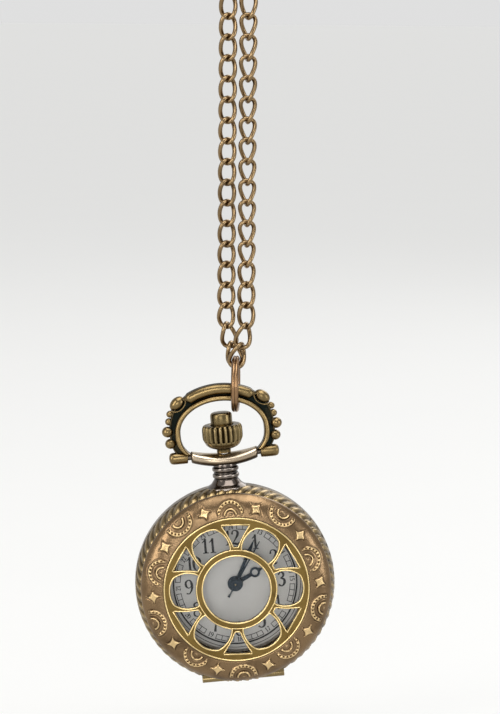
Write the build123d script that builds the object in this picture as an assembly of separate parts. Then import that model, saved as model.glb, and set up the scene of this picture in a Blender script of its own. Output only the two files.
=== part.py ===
from build123d import *
import math
import os

# Pendant watch with an openwork hinged cover, hanging in its chain.
# Units are millimetres. The watch has a frame of its own: X to the right, Y to the back, Z up,
# with the hands' axis along Y through its origin and the bow's pins at y = 0.
# The finished row stands with +Z up and its origin at the hook point inside the chain's top loop.

os.makedirs("parts", exist_ok=True)

# Case band and its seams
CASE_RADIUS = 13.35
BAND_FRONT = 3.3
BAND_BACK = 2.6
FRONT_SHOULDER = 0.7
BACK_SHOULDER = 0.85
BACK_RIM_DROP = 0.1
BAND_BELLY_SHARE = 0.4
BAND_WALL = 2.05
SEAT_DEPTH = 0.75
MOVE_GAP = 0.05
FIT = 0.02
RUNNING_FIT = 0.03
OVERRUN = 1.0
SHAFT_SIDES = 10
CAVITY_SIDES = 48
STEM_SIDES = 24
BOSS_SIDES = 12

# Dial and its seat
DIAL_SETBACK = 2.2
REHAUT_STEP = 0.8
DIAL_FIT = 0.05
DIAL_THICKNESS = 0.4
DIAL_HOLE_RADIUS = 0.75

# Crystal, seal and bezel
BEZEL_INSET = 2.68
CRYSTAL_THICKNESS = 0.6
BEZEL_WALL = 0.75

# Back cover
BACK_RISE = 1.95
BACK_WALL = 0.7
BACK_EDGE_HEIGHT = 0.45
BACK_LIP_DEPTH = 0.7
BACK_LIP_WALL = 0.4
BACK_BEVEL_SHARE = 0.7

# Openwork cover
COVER_INSET = 0.59
COVER_RIM_HEIGHT = 0.55
COVER_RIM_WALL = 0.6
COVER_RISE = 1.9
BORDER_BULGE = 0.28
BORDER_WIDTH = 2.96
FLOWER_THICKNESS = 0.5
FLOWER_LEDGE = 0.5
FLOWER_TURN = 3.5
FLOWER_PROUD = 0.14
PETAL_COUNT = 6
EYE_SHARE = 0.458
PETAL_FOOT_SHARE = 0.556
PETAL_FOOT_HALF_SHARE = 0.204
PETAL_BELLY_SHARE = 0.7245
PETAL_BELLY_HALF_SHARE = 0.2408
PETAL_SHOULDER_SHARE = 0.8724
PETAL_SHOULDER_HALF_SHARE = 0.1786
PETAL_TOP_SHARE = 0.9061
RIB_SHARE = 0.0429
GAP_INNER_SHARE = 0.5918
GAP_OUTER_SHARE = 0.8898
GAP_INNER_ANGLE = 3.0
GAP_OUTER_ANGLE = 12.2

# Cover hinge at six o'clock
HINGE_INSET = 0.95
HINGE_SETBACK = 0.58
HINGE_LENGTH = 11.05
KNUCKLE_RADIUS = 0.5
HINGE_PIN_RADIUS = 0.24
KNUCKLE_GAP = 0.06
HINGE_CHANNEL_DEPTH = 1.18
HINGE_CHANNEL_INSET = 1.6

# Cover catch at twelve o'clock
CATCH_HALF_WIDTH = 1.0
CATCH_THICKNESS = 0.3
CATCH_NOSE = 0.3
CATCH_NOSE_HEIGHT = 0.25
CATCH_TAIL = 1.0
CATCH_FORK_HALF = 0.75
CATCH_TRAVEL = 0.45
KEEPER_THICKNESS = 0.2

# Pendant neck and its bar
NECK_SEAT_DEPTH = 0.5
NECK_FLARE_RADIUS = 2.75
NECK_FLARE_EDGE = 0.35
NECK_RADIUS = 1.8
NECK_GROOVE = 0.28
NECK_FOOT_HEIGHT = 1.35
NECK_LENGTH = 3.5
BAR_HALF_LENGTH = 4.45
BAR_HEIGHT = 1.58
BAR_SAG = 0.6
BAR_HALF_DEPTH = 1.75
BAR_END_HALF_DEPTH = 0.85

# Bow and its pins
PIN_LINE_RISE = 1.13
BOW_PIN_RADIUS = 0.4
BOW_PIN_REACH = 1.15
BOSS_RADIUS = 0.8
BOSS_GAP = 0.45
BOSS_LENGTH = 2.45
BOW_CENTRE_RISE = 3.35
BOW_INNER_SWELL = 0.48
BOW_INNER_RISE = 3.75
BOW_SIDE_WIDTH = 1.27
BOW_TOP_WIDTH = 2.49
BOW_FOOT_STEP = 0.05
BOW_FOOT_WIDTH = 1.55
BOW_DEPTH = 2.2
BOW_RIDGE_WIDTH = 0.8
BOW_GROOVE_DEPTH = 0.45
BOW_STEPS = 24
BEAD_SIDES = 8
BEAD_INSETS = (-0.9, 0.15, 0.35, 0.6, 0.32)
BEAD_HEIGHTS = (7.45, 6.05, 5.05, 3.65, 1.95)
BEAD_RADII = (0.92, 0.45, 0.45, 0.72, 0.72)
BEAD_WEB_HALF = 0.3

# Crown, stem and release button
CROWN_RADIUS = 2.75
CROWN_FLUTE_DEPTH = 0.3
CROWN_FLUTES = 22
CROWN_FLUTE_LENGTH = 2.2
CROWN_DOME_HEIGHT = 1.12
CROWN_DOME_RADIUS = 2.4
DOME_SHARES = (0.86, 0.55)
CROWN_COLLAR_RADIUS = 0.95
CROWN_COLLAR_LENGTH = 0.48
CROWN_CLEARANCE = 0.1
CROWN_TRAVEL = 0.8
BUTTON_RADIUS = 1.4
BUTTON_PROUD = 1.72
BUTTON_TRAVEL = 0.45
BUTTON_FOOT = 0.7
STEM_RADIUS = 0.65
STEM_BORE_RADIUS = 0.31
STEM_END_DEPTH = 2.0
STEM_GROOVE_DEPTH = 0.7
STEM_GROOVE_LENGTH = 0.5
STEM_GROOVE_RADIUS = 0.42
ROD_RADIUS = 0.26
CROSS_PIN_RADIUS = 0.12
COLLAR_RADIUS = 1.12
COLLAR_THICKNESS = 0.38
COLLAR_CHAMBER_RADIUS = 1.2

# Jump ring and its place on the bow
RING_RADIUS = 3.33
RING_WIRE_RADIUS = 0.51
RING_PLACE_X = 2.24
RING_YAW = 5.0
RING_STEPS = 24
RING_SIDES = 8
CONTACT_GAP = 0.22

# Chain of curb links
LINK_HALF_WIDTH = 0.955
LINK_WIRE_RADIUS = 0.28
LINK_PITCH = 2.77
LINK_PLAY = 0.02
LINK_TWIST_DEPTH = 0.5
LINK_STEPS = 10
LINK_SIDES = 4
STRAND_LINKS = 15
LEAN_LINKS = 2
LEAN_PITCH = 2.72
LEAN_ANGLE = 8.25
ARCH_PITCH = 2.52
END_LEANS = (0.0, 13.36, 18.34)
END_DEPTHS = (0.21, 0.52, 0.82)
END_LINK_RIDE = 0.65
HOOK_CLEARANCE = 0.9
LEFT_TURNS = (24.2, 26.0, 3.5, 3.5)
RIGHT_TURNS = (24.0, 23.0, -4.0, -4.0, -19.0)
RIGHT_TURN = -35.0
UNTURN_STEP = 12.0

# Hang of the watch
WATCH_TILT = 5.1

# Hands and their axis
HOUR_SHARE = 0.465
MINUTE_SHARE = 0.714
SECOND_SHARE = 0.736
SECOND_TAIL_SHARE = 0.215
HAND_THICKNESS = 0.14
HAND_GAP = 0.22
HUB_RADIUS = 1.05
MINUTE_HUB_RADIUS = 0.85
SECOND_HUB_RADIUS = 0.62
HOUR_BAR_WIDTH = 0.56
MINUTE_BAR_WIDTH = 0.5
SECOND_BAR_WIDTH = 0.22
POMME_RADIUS = 0.7
POMME_HOLE_RADIUS = 0.42
HOUR_POMME_SHARE = 0.721
MINUTE_POMME_SHARE = 0.677
SECOND_DISC_RADIUS = 0.4
HOUR_ANGLE = 64.5
MINUTE_ANGLE = 27.0
SECOND_ANGLE = 33.3

# Motion work between dial and plate
HOUR_TUBE_RADIUS = 0.58
CANNON_RADIUS = 0.42
CENTRE_TUBE_RADIUS = 0.24
ARBOR_RADIUS = 0.12
WHEEL_THICKNESS = 0.15
WHEEL_STEP = 0.05
TOOTH_DEPTH = 0.14
WHEEL_TEETH = 12
MESH_GAP = 0.04
MINUTE_WHEEL_SHARE = 0.2472
MINUTE_RATIO = 3
HOUR_RATIO = 4

# Movement
HOLDER_LEDGE = 0.15
HOLDER_FIT = 0.05
HOLDER_NOTCH_HALF = 1.9
MOTION_SPACE = 0.6
PLATE_THICKNESS = 0.6
TRAIN_SPACE = 1.0
BRIDGE_THICKNESS = 0.4
THIRD_DISTANCE_SHARE = 0.19
THIRD_ANGLE = 135.0
CENTRE_RATIO = 8
THIRD_RATIO = 7.5
FIFTH_DISTANCE_SHARE = 0.186
FIFTH_ANGLE = -45.0
SECOND_RATIO = 6
ROTOR_DISTANCE_SHARE = 0.1562
FIFTH_RATIO = 5
ROTOR_SHARE = 0.0787
ROTOR_HEIGHT = 0.32
ROTOR_AIR_GAP = 0.15
BATTERY_SHARE = 0.382
BATTERY_PLACE_SHARES = (-0.4157, -0.427)
BATTERY_THICKNESS = 1.65
COIL_PLACE_SHARES = (0.5843, -0.3596)
COIL_LENGTH_SHARE = 0.7865
COIL_RADIUS = 0.7
COIL_CORE_END = 0.9
STATOR_THICKNESS = 0.3
STATOR_ARM_SHARE = 0.1573
QUARTZ_PLACE_SHARES = (-0.6854, 0.5281)
QUARTZ_LENGTH_SHARE = 0.5393
QUARTZ_RADIUS = 0.72
BOARD_THICKNESS = 0.25
BOARD_EDGE_SHARES = (-0.1067, 0.3708)
BOARD_SHARE = 0.955
STRAP_THICKNESS = 0.2
STRAP_SHARES = (0.629, 0.18)
LEVER_THICKNESS = 0.25
LEVER_LEFT = 1.75
LEVER_RIGHT = 0.7
LEVER_HALF_HEIGHT = 0.42
LEVER_PIN_RADIUS = 0.2
STEM_CLEARANCE = 0.1
PILLAR_RADIUS = 0.32
BRIDGE_LEFT_SHARE = 0.3708
BRIDGE_RIGHT_SHARE = 0.3371
BRIDGE_TOP_SHARE = 0.2921
BRIDGE_BOTTOM_SHARE = 0.4719

# Radii and heights worked out from the case's radius
cavity_radius = CASE_RADIUS - BAND_WALL
bezel_outer = CASE_RADIUS - BEZEL_INSET
crystal_radius = bezel_outer - BEZEL_WALL - FIT
rehaut_radius = crystal_radius - REHAUT_STEP
dial_radius = cavity_radius - DIAL_FIT
holder_inner = rehaut_radius - HOLDER_LEDGE
plate_radius = holder_inner - HOLDER_FIT
cover_radius = CASE_RADIUS - COVER_INSET
flower_radius = cover_radius - BORDER_WIDTH
eye_radius = EYE_SHARE * flower_radius
hinge_drop = CASE_RADIUS - HINGE_INSET
channel_top = CASE_RADIUS - HINGE_CHANNEL_INSET
catch_low = cavity_radius
neck_seat = CASE_RADIUS - NECK_SEAT_DEPTH
neck_top = neck_seat + NECK_LENGTH
pin_line = neck_top + PIN_LINE_RISE
boss_inner = BAR_HALF_LENGTH + BOSS_GAP
foot_inner = boss_inner + BOW_FOOT_STEP
foot_outer = foot_inner + BOW_FOOT_WIDTH
bow_inner_half = foot_inner + BOW_INNER_SWELL
bow_outer_half = bow_inner_half + BOW_SIDE_WIDTH
bow_outer_rise = BOW_INNER_RISE + BOW_TOP_WIDTH
stem_end = plate_radius - STEM_END_DEPTH
stem_groove = plate_radius - STEM_GROOVE_DEPTH
hour_length = HOUR_SHARE * rehaut_radius
minute_length = MINUTE_SHARE * rehaut_radius
second_length = SECOND_SHARE * rehaut_radius
second_tail = SECOND_TAIL_SHARE * rehaut_radius
minute_wheel_offset = MINUTE_WHEEL_SHARE * plate_radius
third_distance = THIRD_DISTANCE_SHARE * plate_radius
fifth_distance = FIFTH_DISTANCE_SHARE * plate_radius
rotor_distance = ROTOR_DISTANCE_SHARE * plate_radius
rotor_radius = ROTOR_SHARE * plate_radius
battery_radius = BATTERY_SHARE * plate_radius
battery_x, battery_z = (share * plate_radius for share in BATTERY_PLACE_SHARES)
coil_x, coil_low = (share * plate_radius for share in COIL_PLACE_SHARES)
coil_high = coil_low + COIL_LENGTH_SHARE * plate_radius
quartz_x, quartz_z = (share * plate_radius for share in QUARTZ_PLACE_SHARES)
board_right, board_low = (share * plate_radius for share in BOARD_EDGE_SHARES)
board_radius = BOARD_SHARE * plate_radius
bridge_left = BRIDGE_LEFT_SHARE * plate_radius
bridge_right = BRIDGE_RIGHT_SHARE * plate_radius
bridge_top = BRIDGE_TOP_SHARE * plate_radius
bridge_bottom = BRIDGE_BOTTOM_SHARE * plate_radius

# Depths along Y worked out from the sizes above
front_face = -BAND_FRONT
seat_face = front_face + SEAT_DEPTH
dial_face = front_face + DIAL_SETBACK
dial_back = dial_face + DIAL_THICKNESS
plate_front = dial_back + MOTION_SPACE
plate_back = plate_front + PLATE_THICKNESS
bridge_front = plate_back + TRAIN_SPACE
bridge_back = bridge_front + BRIDGE_THICKNESS
cover_back = front_face - MOVE_GAP
cover_front = cover_back - COVER_RISE
nose_back = cover_back - KEEPER_THICKNESS - MOVE_GAP
nose_front = nose_back - CATCH_NOSE_HEIGHT
flower_back = cover_front + FLOWER_THICKNESS
hinge_y = front_face + HINGE_SETBACK
catch_high = catch_low + CATCH_THICKNESS
nose_top = catch_high + CATCH_NOSE
crown_low = pin_line - BAR_SAG + BAR_HEIGHT / 2 + CROWN_CLEARANCE

# Chain joints worked out from the hook point down
third_turn = (180 + 2 * LEAN_ANGLE) / 3
arch_slope = math.radians(90 + LEAN_ANGLE - third_turn)
lean = math.radians(LEAN_ANGLE)
arch_half = ARCH_PITCH * math.cos(arch_slope)
link_half_length = (LINK_PITCH + 2 * LINK_WIRE_RADIUS + LINK_PLAY) / 2
tilt = math.radians(WATCH_TILT)


def chain_joints(side):
    """Points where the links of one strand hold each other, from the hook down to the end link's foot."""
    points = [(0, 0, HOOK_CLEARANCE)]
    x, z = side * arch_half, HOOK_CLEARANCE - ARCH_PITCH * math.sin(arch_slope)
    points.append((x, 0, z))
    for _ in range(LEAN_LINKS):
        x -= side * LEAN_PITCH * math.sin(lean)
        z -= LEAN_PITCH * math.cos(lean)
        points.append((x, 0, z))
    for _ in range(STRAND_LINKS):
        z -= LINK_PITCH
        points.append((x, 0, z))
    for angle, depth in zip(END_LEANS, END_DEPTHS):
        across = LINK_PITCH * math.sin(math.radians(angle))
        deeper = -side * depth - points[-1][1]
        x -= side * across
        z -= math.sqrt(LINK_PITCH ** 2 - across ** 2 - deeper ** 2)
        points.append((x, -side * depth, z))
    return points


end_upper, end_lower = chain_joints(1)[-2:]
end_share = 1 / 2 + END_LINK_RIDE / LINK_PITCH
ring_top = end_upper[2] + end_share * (end_lower[2] - end_upper[2])
ring_centre = ring_top - RING_RADIUS
ring_bottom = ring_centre - RING_RADIUS

# Where the ring's wire bears on the inside of the bow, in the watch's frame
bow_centre = pin_line + BOW_CENTRE_RISE
bear = math.acos(RING_PLACE_X / bow_inner_half)
bear_normal = Vector(math.cos(bear) / bow_inner_half, math.sin(bear) / BOW_INNER_RISE).normalized()
bear_gap = RING_WIRE_RADIUS + CONTACT_GAP
bear_x = RING_PLACE_X - bear_gap * bear_normal.X
bear_z = bow_centre + BOW_INNER_RISE * math.sin(bear) - bear_gap * bear_normal.Y
watch_x = bear_z * math.sin(tilt) - bear_x * math.cos(tilt)
watch_z = ring_bottom - bear_x * math.sin(tilt) - bear_z * math.cos(tilt)
WATCH_PLACE = Pos(watch_x, 0, watch_z) * Rot(Y=-WATCH_TILT)


def plate(sketch, front, back):
    """A flat piece from a sketch of x and z, between two depths."""
    return extrude(Plane.XZ.offset(-back) * sketch, back - front)


def flat_sided(profile, sides, place):
    """A piece of revolution with flat sides, from points of radius and height and where they go."""
    faces = []
    for k, (radius, height) in enumerate(profile):
        last_radius, last_height = profile[k - 1]
        for j in range(sides):
            corners = [place(last_radius, last_height, j), place(radius, height, j),
                       place(radius, height, j + 1), place(last_radius, last_height, j + 1)]
            if last_radius == 0:
                corners.pop()
            if radius == 0:
                corners.pop(1)
            if len(corners) > 2:
                faces.append(Face(Wire.make_polygon(corners, close=True)))
    return Solid(Shell(faces))


def turned(*profile):
    """A piece turned about the hands' axis, from points of radius and y."""
    step = 2 * math.pi / CAVITY_SIDES
    return flat_sided(profile, CAVITY_SIDES,
                      lambda r, h, k: Vector(r * math.cos(k * step), h, r * math.sin(k * step)))


def turned_upright(*profile):
    """A piece turned about the stem's axis, from points of radius and z."""
    step = 2 * math.pi / STEM_SIDES
    return flat_sided(profile, STEM_SIDES,
                      lambda r, h, k: Vector(r * math.cos(k * step), r * math.sin(k * step), h))


def block(x_low, x_high, y_low, y_high, z_low, z_high):
    """A box between two corners."""
    box = Box(x_high - x_low, y_high - y_low, z_high - z_low, align=Align.MIN)
    return Pos(x_low, y_low, z_low) * box


def shaft(radius, start, end, sides=SHAFT_SIDES):
    """A small shaft along Z with flat sides, inside the given radius."""
    return extrude(Pos(0, 0, start) * RegularPolygon(radius, sides), end - start)


def bore(radius, start, end, sides=SHAFT_SIDES):
    """A flat-sided hole along Z, outside the given radius."""
    return shaft(radius / math.cos(math.pi / sides), start, end, sides)


def pierced(radius):
    """The outline of a flat-sided hole outside the given radius."""
    return RegularPolygon(radius / math.cos(math.pi / SHAFT_SIDES), SHAFT_SIDES)


def along_x(piece, y, z):
    """Turns a piece drawn along Z to lie along X."""
    return Pos(0, y, z) * Rot(Y=90) * piece


def along_y(piece, x=0, z=0):
    """Turns a piece drawn along Z to lie along Y."""
    return Pos(x, 0, z) * Rot(X=-90) * piece


def write(shape, node):
    """One STEP file for one node, in the row's frame."""
    export_step(shape, "parts/" + node + ".step")


# Case: band, back, bezel and crystal

def case_middle():
    band_edge = CASE_RADIUS - FRONT_SHOULDER
    back_edge = CASE_RADIUS - BACK_SHOULDER
    band = turned(
        (back_edge, BAND_BACK),
        (CASE_RADIUS, BAND_BELLY_SHARE * BAND_BACK),
        (CASE_RADIUS, BAND_BELLY_SHARE * front_face),
        (band_edge, front_face),
        (bezel_outer + FIT, front_face),
        (bezel_outer + FIT, seat_face),
        (rehaut_radius, seat_face),
        (rehaut_radius, BAND_BACK),
    )
    band -= along_y(bore(cavity_radius, dial_face, BAND_BACK + OVERRUN, CAVITY_SIDES))
    outer = CASE_RADIUS + OVERRUN
    slot_half = CATCH_HALF_WIDTH + MOVE_GAP
    slot_low = catch_low - CATCH_TRAVEL - MOVE_GAP
    band -= bore(NECK_FLARE_RADIUS + FIT, neck_seat, outer, STEM_SIDES)
    band -= bore(COLLAR_CHAMBER_RADIUS, slot_low, neck_seat)
    band -= block(-slot_half, slot_half, front_face - OVERRUN, CATCH_TAIL + MOVE_GAP,
                  slot_low, catch_high + MOVE_GAP)
    channel_half = HINGE_LENGTH / 2 + KNUCKLE_GAP
    band -= block(-channel_half, channel_half, front_face - OVERRUN,
                  front_face + HINGE_CHANNEL_DEPTH, -outer, -channel_top)
    return band.solid()


def back_cover():
    edge = CASE_RADIUS - BACK_SHOULDER - BACK_RIM_DROP
    low = BAND_BACK + MOVE_GAP
    rim = low + BACK_EDGE_HEIGHT
    top = low + BACK_RISE
    bevel = BACK_BEVEL_SHARE * edge
    lip = cavity_radius - HOLDER_FIT
    return turned(
        (0, top), (bevel, top), (edge, rim), (edge, low), (lip, low), (lip, low - BACK_LIP_DEPTH),
        (lip - BACK_LIP_WALL, low - BACK_LIP_DEPTH),
        (bevel - BACK_WALL, top - BACK_WALL), (0, top - BACK_WALL),
    )


def crystal():
    return along_y(shaft(crystal_radius, seat_face - CRYSTAL_THICKNESS, seat_face, CAVITY_SIDES))


def bezel_ring():
    inner = crystal_radius + FIT
    high = front_face + MOVE_GAP
    low = seat_face - CRYSTAL_THICKNESS
    return turned((inner, seat_face), (inner, low), (bezel_outer, high), (bezel_outer, seat_face))


def dial():
    disc = shaft(dial_radius, dial_face, dial_back, CAVITY_SIDES)
    disc -= bore(DIAL_HOLE_RADIUS, dial_face, dial_back)
    half = CATCH_HALF_WIDTH + MOVE_GAP
    notch = block(-half, half, dial_face, dial_back, catch_low - CATCH_TRAVEL - MOVE_GAP, CASE_RADIUS)
    return along_y(disc) - notch


# Openwork cover with its hinge and catch

def cover_rim():
    outer = cover_radius
    inner = cover_radius - COVER_RIM_WALL
    shoulder = cover_back - COVER_RIM_HEIGHT
    throat = flower_radius + FIT
    ledge = flower_radius - FLOWER_LEDGE
    crest = cover_front + FLOWER_PROUD
    middle = ((outer + throat) / 2, (shoulder + crest) / 2)
    slope = Vector(crest - shoulder, outer - throat).normalized()
    bulge = (middle[0] - BORDER_BULGE * slope.X, middle[1] - BORDER_BULGE * slope.Y)
    rim = turned(
        (outer, shoulder), bulge, (throat, crest), (throat, flower_back), (ledge, flower_back),
        (inner, shoulder), (inner, cover_back), (outer, cover_back),
    )
    keeper_low = nose_top + FIT
    keeper = block(-CATCH_HALF_WIDTH, CATCH_HALF_WIDTH, cover_back - KEEPER_THICKNESS, cover_back,
                   keeper_low, inner + COVER_RIM_WALL / 2)
    return rim + keeper


def petal(grow=0):
    """One petal window that points up, drawn in x and z, grown by a margin."""
    foot_radius = PETAL_FOOT_SHARE * flower_radius
    foot_half = PETAL_FOOT_HALF_SHARE * flower_radius
    belly_half = PETAL_BELLY_HALF_SHARE * flower_radius
    shoulder_half = PETAL_SHOULDER_HALF_SHARE * flower_radius
    top_z = PETAL_TOP_SHARE * flower_radius
    foot_z = math.sqrt(foot_radius ** 2 - foot_half ** 2)
    belly_z = math.sqrt((PETAL_BELLY_SHARE * flower_radius) ** 2 - belly_half ** 2)
    shoulder_z = math.sqrt((PETAL_SHOULDER_SHARE * flower_radius) ** 2 - shoulder_half ** 2)
    foot = ThreePointArc((-foot_half, foot_z), (0, foot_radius), (foot_half, foot_z))
    right = ThreePointArc((foot_half, foot_z), (belly_half, belly_z),
                          (shoulder_half, shoulder_z))
    top = ThreePointArc((shoulder_half, shoulder_z), (0, top_z),
                        (-shoulder_half, shoulder_z))
    left = ThreePointArc((-shoulder_half, shoulder_z), (-belly_half, belly_z),
                         (-foot_half, foot_z))
    window = make_face(foot + right + top + left)
    return offset(window, grow) if grow else window


def gap_window():
    """The tapered window between two petals, before the petals' ribs are taken off."""
    corners = []
    top_z = GAP_OUTER_SHARE * flower_radius
    for radius, angle in ((GAP_INNER_SHARE * flower_radius, GAP_INNER_ANGLE), (top_z, GAP_OUTER_ANGLE)):
        turn = math.radians(angle)
        corners.append((radius * math.sin(turn), radius * math.cos(turn)))
    (inner_x, inner_z), (outer_x, outer_z) = corners
    sides = Polyline((outer_x, outer_z), (inner_x, inner_z), (-inner_x, inner_z), (-outer_x, outer_z))
    top = ThreePointArc((-outer_x, outer_z), (0, top_z), (outer_x, outer_z))
    return make_face(sides + top)


def flower_grille():
    step = 360 / PETAL_COUNT
    disc = RegularPolygon(flower_radius, CAVITY_SIDES) - RegularPolygon(eye_radius, CAVITY_SIDES)
    window = petal()
    ribbed = petal(RIB_SHARE * flower_radius)
    gap = gap_window() - Rot(Z=step / 2) * ribbed - Rot(Z=-step / 2) * ribbed
    for k in range(PETAL_COUNT):
        turn = Rot(Z=-FLOWER_TURN - k * step)
        disc -= turn * gap
        disc -= turn * Rot(Z=step / 2) * window
    return plate(disc, cover_front, flower_back)


def hinge_spans():
    """Left, middle and right spans of the three knuckles along X."""
    third = HINGE_LENGTH / 3
    half = HINGE_LENGTH / 2
    cut = KNUCKLE_GAP / 2
    return (
        (-half, -half + third - cut),
        (-half + third + cut, half - third - cut),
        (half - third + cut, half),
    )


def knuckle(span):
    return along_x(shaft(KNUCKLE_RADIUS, span[0], span[1], BOSS_SIDES), hinge_y, -hinge_drop)


def hinge_bore():
    half = HINGE_LENGTH / 2 + OVERRUN
    return along_x(bore(HINGE_PIN_RADIUS + RUNNING_FIT, -half, half), hinge_y, -hinge_drop)


def case_knuckles():
    left, _, right = hinge_spans()
    channel_back = front_face + HINGE_CHANNEL_DEPTH
    pieces = []
    for span in (left, right):
        seat = block(span[0], span[1], hinge_y - KNUCKLE_RADIUS, channel_back,
                     -hinge_drop, -channel_top)
        pieces.append(knuckle(span) + seat - hinge_bore())
    return Compound(children=[piece.solid() for piece in pieces])


def cover_knuckle():
    _, middle, _ = hinge_spans()
    half = KNUCKLE_RADIUS * math.sin(math.radians(45))
    leaf = block(middle[0], middle[1], cover_back, hinge_y, -hinge_drop - half, -hinge_drop + half / 2)
    return knuckle(middle) + leaf - hinge_bore()


def hinge_pin():
    half = HINGE_LENGTH / 2
    return along_x(shaft(HINGE_PIN_RADIUS, -half, half), hinge_y, -hinge_drop)


def cover_catch():
    half = CATCH_HALF_WIDTH
    leaf = block(-half, half, nose_front, CATCH_TAIL, catch_low, catch_high)
    nose = block(-half, half, nose_front, nose_back, catch_high, nose_top)
    fork = block(-CATCH_FORK_HALF, CATCH_FORK_HALF, -CATCH_FORK_HALF, CATCH_TAIL + OVERRUN,
                 catch_low - OVERRUN, catch_high + OVERRUN)
    return leaf + nose - fork


# Pendant: neck, bar and bow

def neck():
    seat = neck_seat
    foot_top = seat + NECK_FOOT_HEIGHT
    pitch = (neck_top - foot_top) / 4
    slim = NECK_RADIUS - NECK_GROOVE
    points = [(NECK_FLARE_RADIUS, seat), (NECK_FLARE_RADIUS, seat + NECK_FLARE_EDGE), (slim, foot_top)]
    for k in range(2):
        low = foot_top + 2 * k * pitch
        points += [(NECK_RADIUS, low + pitch / 2), (NECK_RADIUS, low + pitch), (slim, low + 3 * pitch / 2)]
    chamber_top = seat + CROWN_TRAVEL / 2
    points += [(slim, neck_top), (0, neck_top), (0, seat)]
    body = turned_upright(*points) - bore(STEM_RADIUS + RUNNING_FIT, seat, neck_top)
    return body - bore(COLLAR_CHAMBER_RADIUS, seat, chamber_top)


def bar_outline():
    """The crescent seen from the front, in x and z."""
    end_low = pin_line - BAR_HEIGHT / 2
    end_high = end_low + BAR_HEIGHT
    half = BAR_HALF_LENGTH
    bottom = ThreePointArc((-half, end_low), (0, end_low - BAR_SAG), (half, end_low))
    top = ThreePointArc((half, end_high), (0, end_high - BAR_SAG), (-half, end_high))
    ends = Line((half, end_low), (half, end_high)) + Line((-half, end_high), (-half, end_low))
    return make_face(bottom + top + ends)


def pendant_bar():
    depth = BAR_HALF_DEPTH
    crescent = plate(bar_outline(), -depth, depth)
    half = BAR_HALF_LENGTH
    end = BAR_END_HALF_DEPTH
    front = ThreePointArc((-half, -end), (0, -depth), (half, -end))
    back = ThreePointArc((half, end), (0, depth), (-half, end))
    sides = Line((half, -end), (half, end)) + Line((-half, end), (-half, -end))
    low = pin_line - BAR_HEIGHT / 2 - BAR_SAG
    plan = extrude(Pos(0, 0, low) * make_face(front + back + sides), BAR_HEIGHT + BAR_SAG)
    bar = crescent & plan
    bar -= bore(STEM_RADIUS + RUNNING_FIT, neck_top, pin_line + BAR_HEIGHT)
    bar -= bore(NECK_RADIUS - NECK_GROOVE + FIT, low - OVERRUN, neck_top, STEM_SIDES)
    for side in (-1, 1):
        deep = side * (half - BOW_PIN_REACH - MOVE_GAP)
        open_end = side * (half + OVERRUN)
        hole = bore(BOW_PIN_RADIUS + RUNNING_FIT, min(deep, open_end), max(deep, open_end))
        bar -= along_x(hole, 0, pin_line)
    return bar.solid()


def horseshoe(half, rise, foot_half):
    """An arch over two straight legs that run down to the pins, in x and z."""
    points = [(foot_half, pin_line)]
    for k in range(BOW_STEPS + 1):
        turn = math.pi * k / BOW_STEPS
        points.append((half * math.cos(turn), bow_centre + rise * math.sin(turn)))
    points.append((-foot_half, pin_line))
    return make_face(Polyline(*points, close=True))


def bow_band(margin):
    """The bow's outline in x and z, narrowed from both sides by a margin."""
    outside = horseshoe(bow_outer_half - margin, bow_outer_rise - margin, foot_outer - margin)
    return outside - horseshoe(bow_inner_half + margin, BOW_INNER_RISE + margin, foot_inner + margin)


def bow_bead(x, z, radius):
    """A faceted bead, widest at half depth."""
    reach = radius * math.cos(math.radians(30))
    step = 2 * math.pi / BEAD_SIDES
    centre = Vector(x, 0, pin_line + z)
    profile = ((0, -reach), (radius, -radius / 4), (radius, radius / 4), (0, reach))
    return flat_sided(profile, BEAD_SIDES,
                      lambda r, h, k: centre + Vector(r * math.cos(k * step), h, r * math.sin(k * step)))


def bead_places(side):
    """The middle of each bead of one side, in x and z above the pins, with its radius."""
    spots = zip(BEAD_INSETS, BEAD_HEIGHTS, BEAD_RADII)
    return [(side * (bow_outer_half + inset), height, radius) for inset, height, radius in spots]


def bead_web(side):
    """A thin rib between the band and the beads of one side."""
    points = [(x, pin_line + z) for x, z, _ in bead_places(side)]
    x, z, radius = bead_places(side)[0]
    points.append((side * (foot_outer - BOW_RIDGE_WIDTH / 2), points[-1][1]))
    points.append((side * (bow_outer_half - BOW_RIDGE_WIDTH / 2), bow_centre))
    points.append((x - side * radius, pin_line + z - radius))
    return plate(make_face(Polyline(*points, close=True)), -BEAD_WEB_HALF, BEAD_WEB_HALF)


def bow():
    frame = plate(bow_band(0), -BOW_DEPTH / 2, BOW_DEPTH / 2)
    groove = bow_band(BOW_RIDGE_WIDTH)
    low_cut = pin_line + BOSS_RADIUS
    groove -= Pos(0, low_cut) * Rectangle(2 * CASE_RADIUS, CASE_RADIUS, align=(Align.CENTER, Align.MAX))
    for front, back in ((-BOW_DEPTH, -BOW_DEPTH / 2 + BOW_GROOVE_DEPTH),
                        (BOW_DEPTH / 2 - BOW_GROOVE_DEPTH, BOW_DEPTH)):
        frame -= plate(groove, front, back)
    for side in (-1, 1):
        frame += bead_web(side)
        for x, z, radius in bead_places(side):
            frame += bow_bead(x, z, radius)
        inner, outer = side * boss_inner, side * (boss_inner + BOSS_LENGTH)
        frame += along_x(shaft(BOSS_RADIUS, min(inner, outer), max(inner, outer), BOSS_SIDES), 0, pin_line)
        deep = side * (boss_inner + BOSS_LENGTH / 2)
        frame -= along_x(shaft(BOW_PIN_RADIUS, min(0, deep), max(0, deep)), 0, pin_line)
    return frame.solid()


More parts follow.
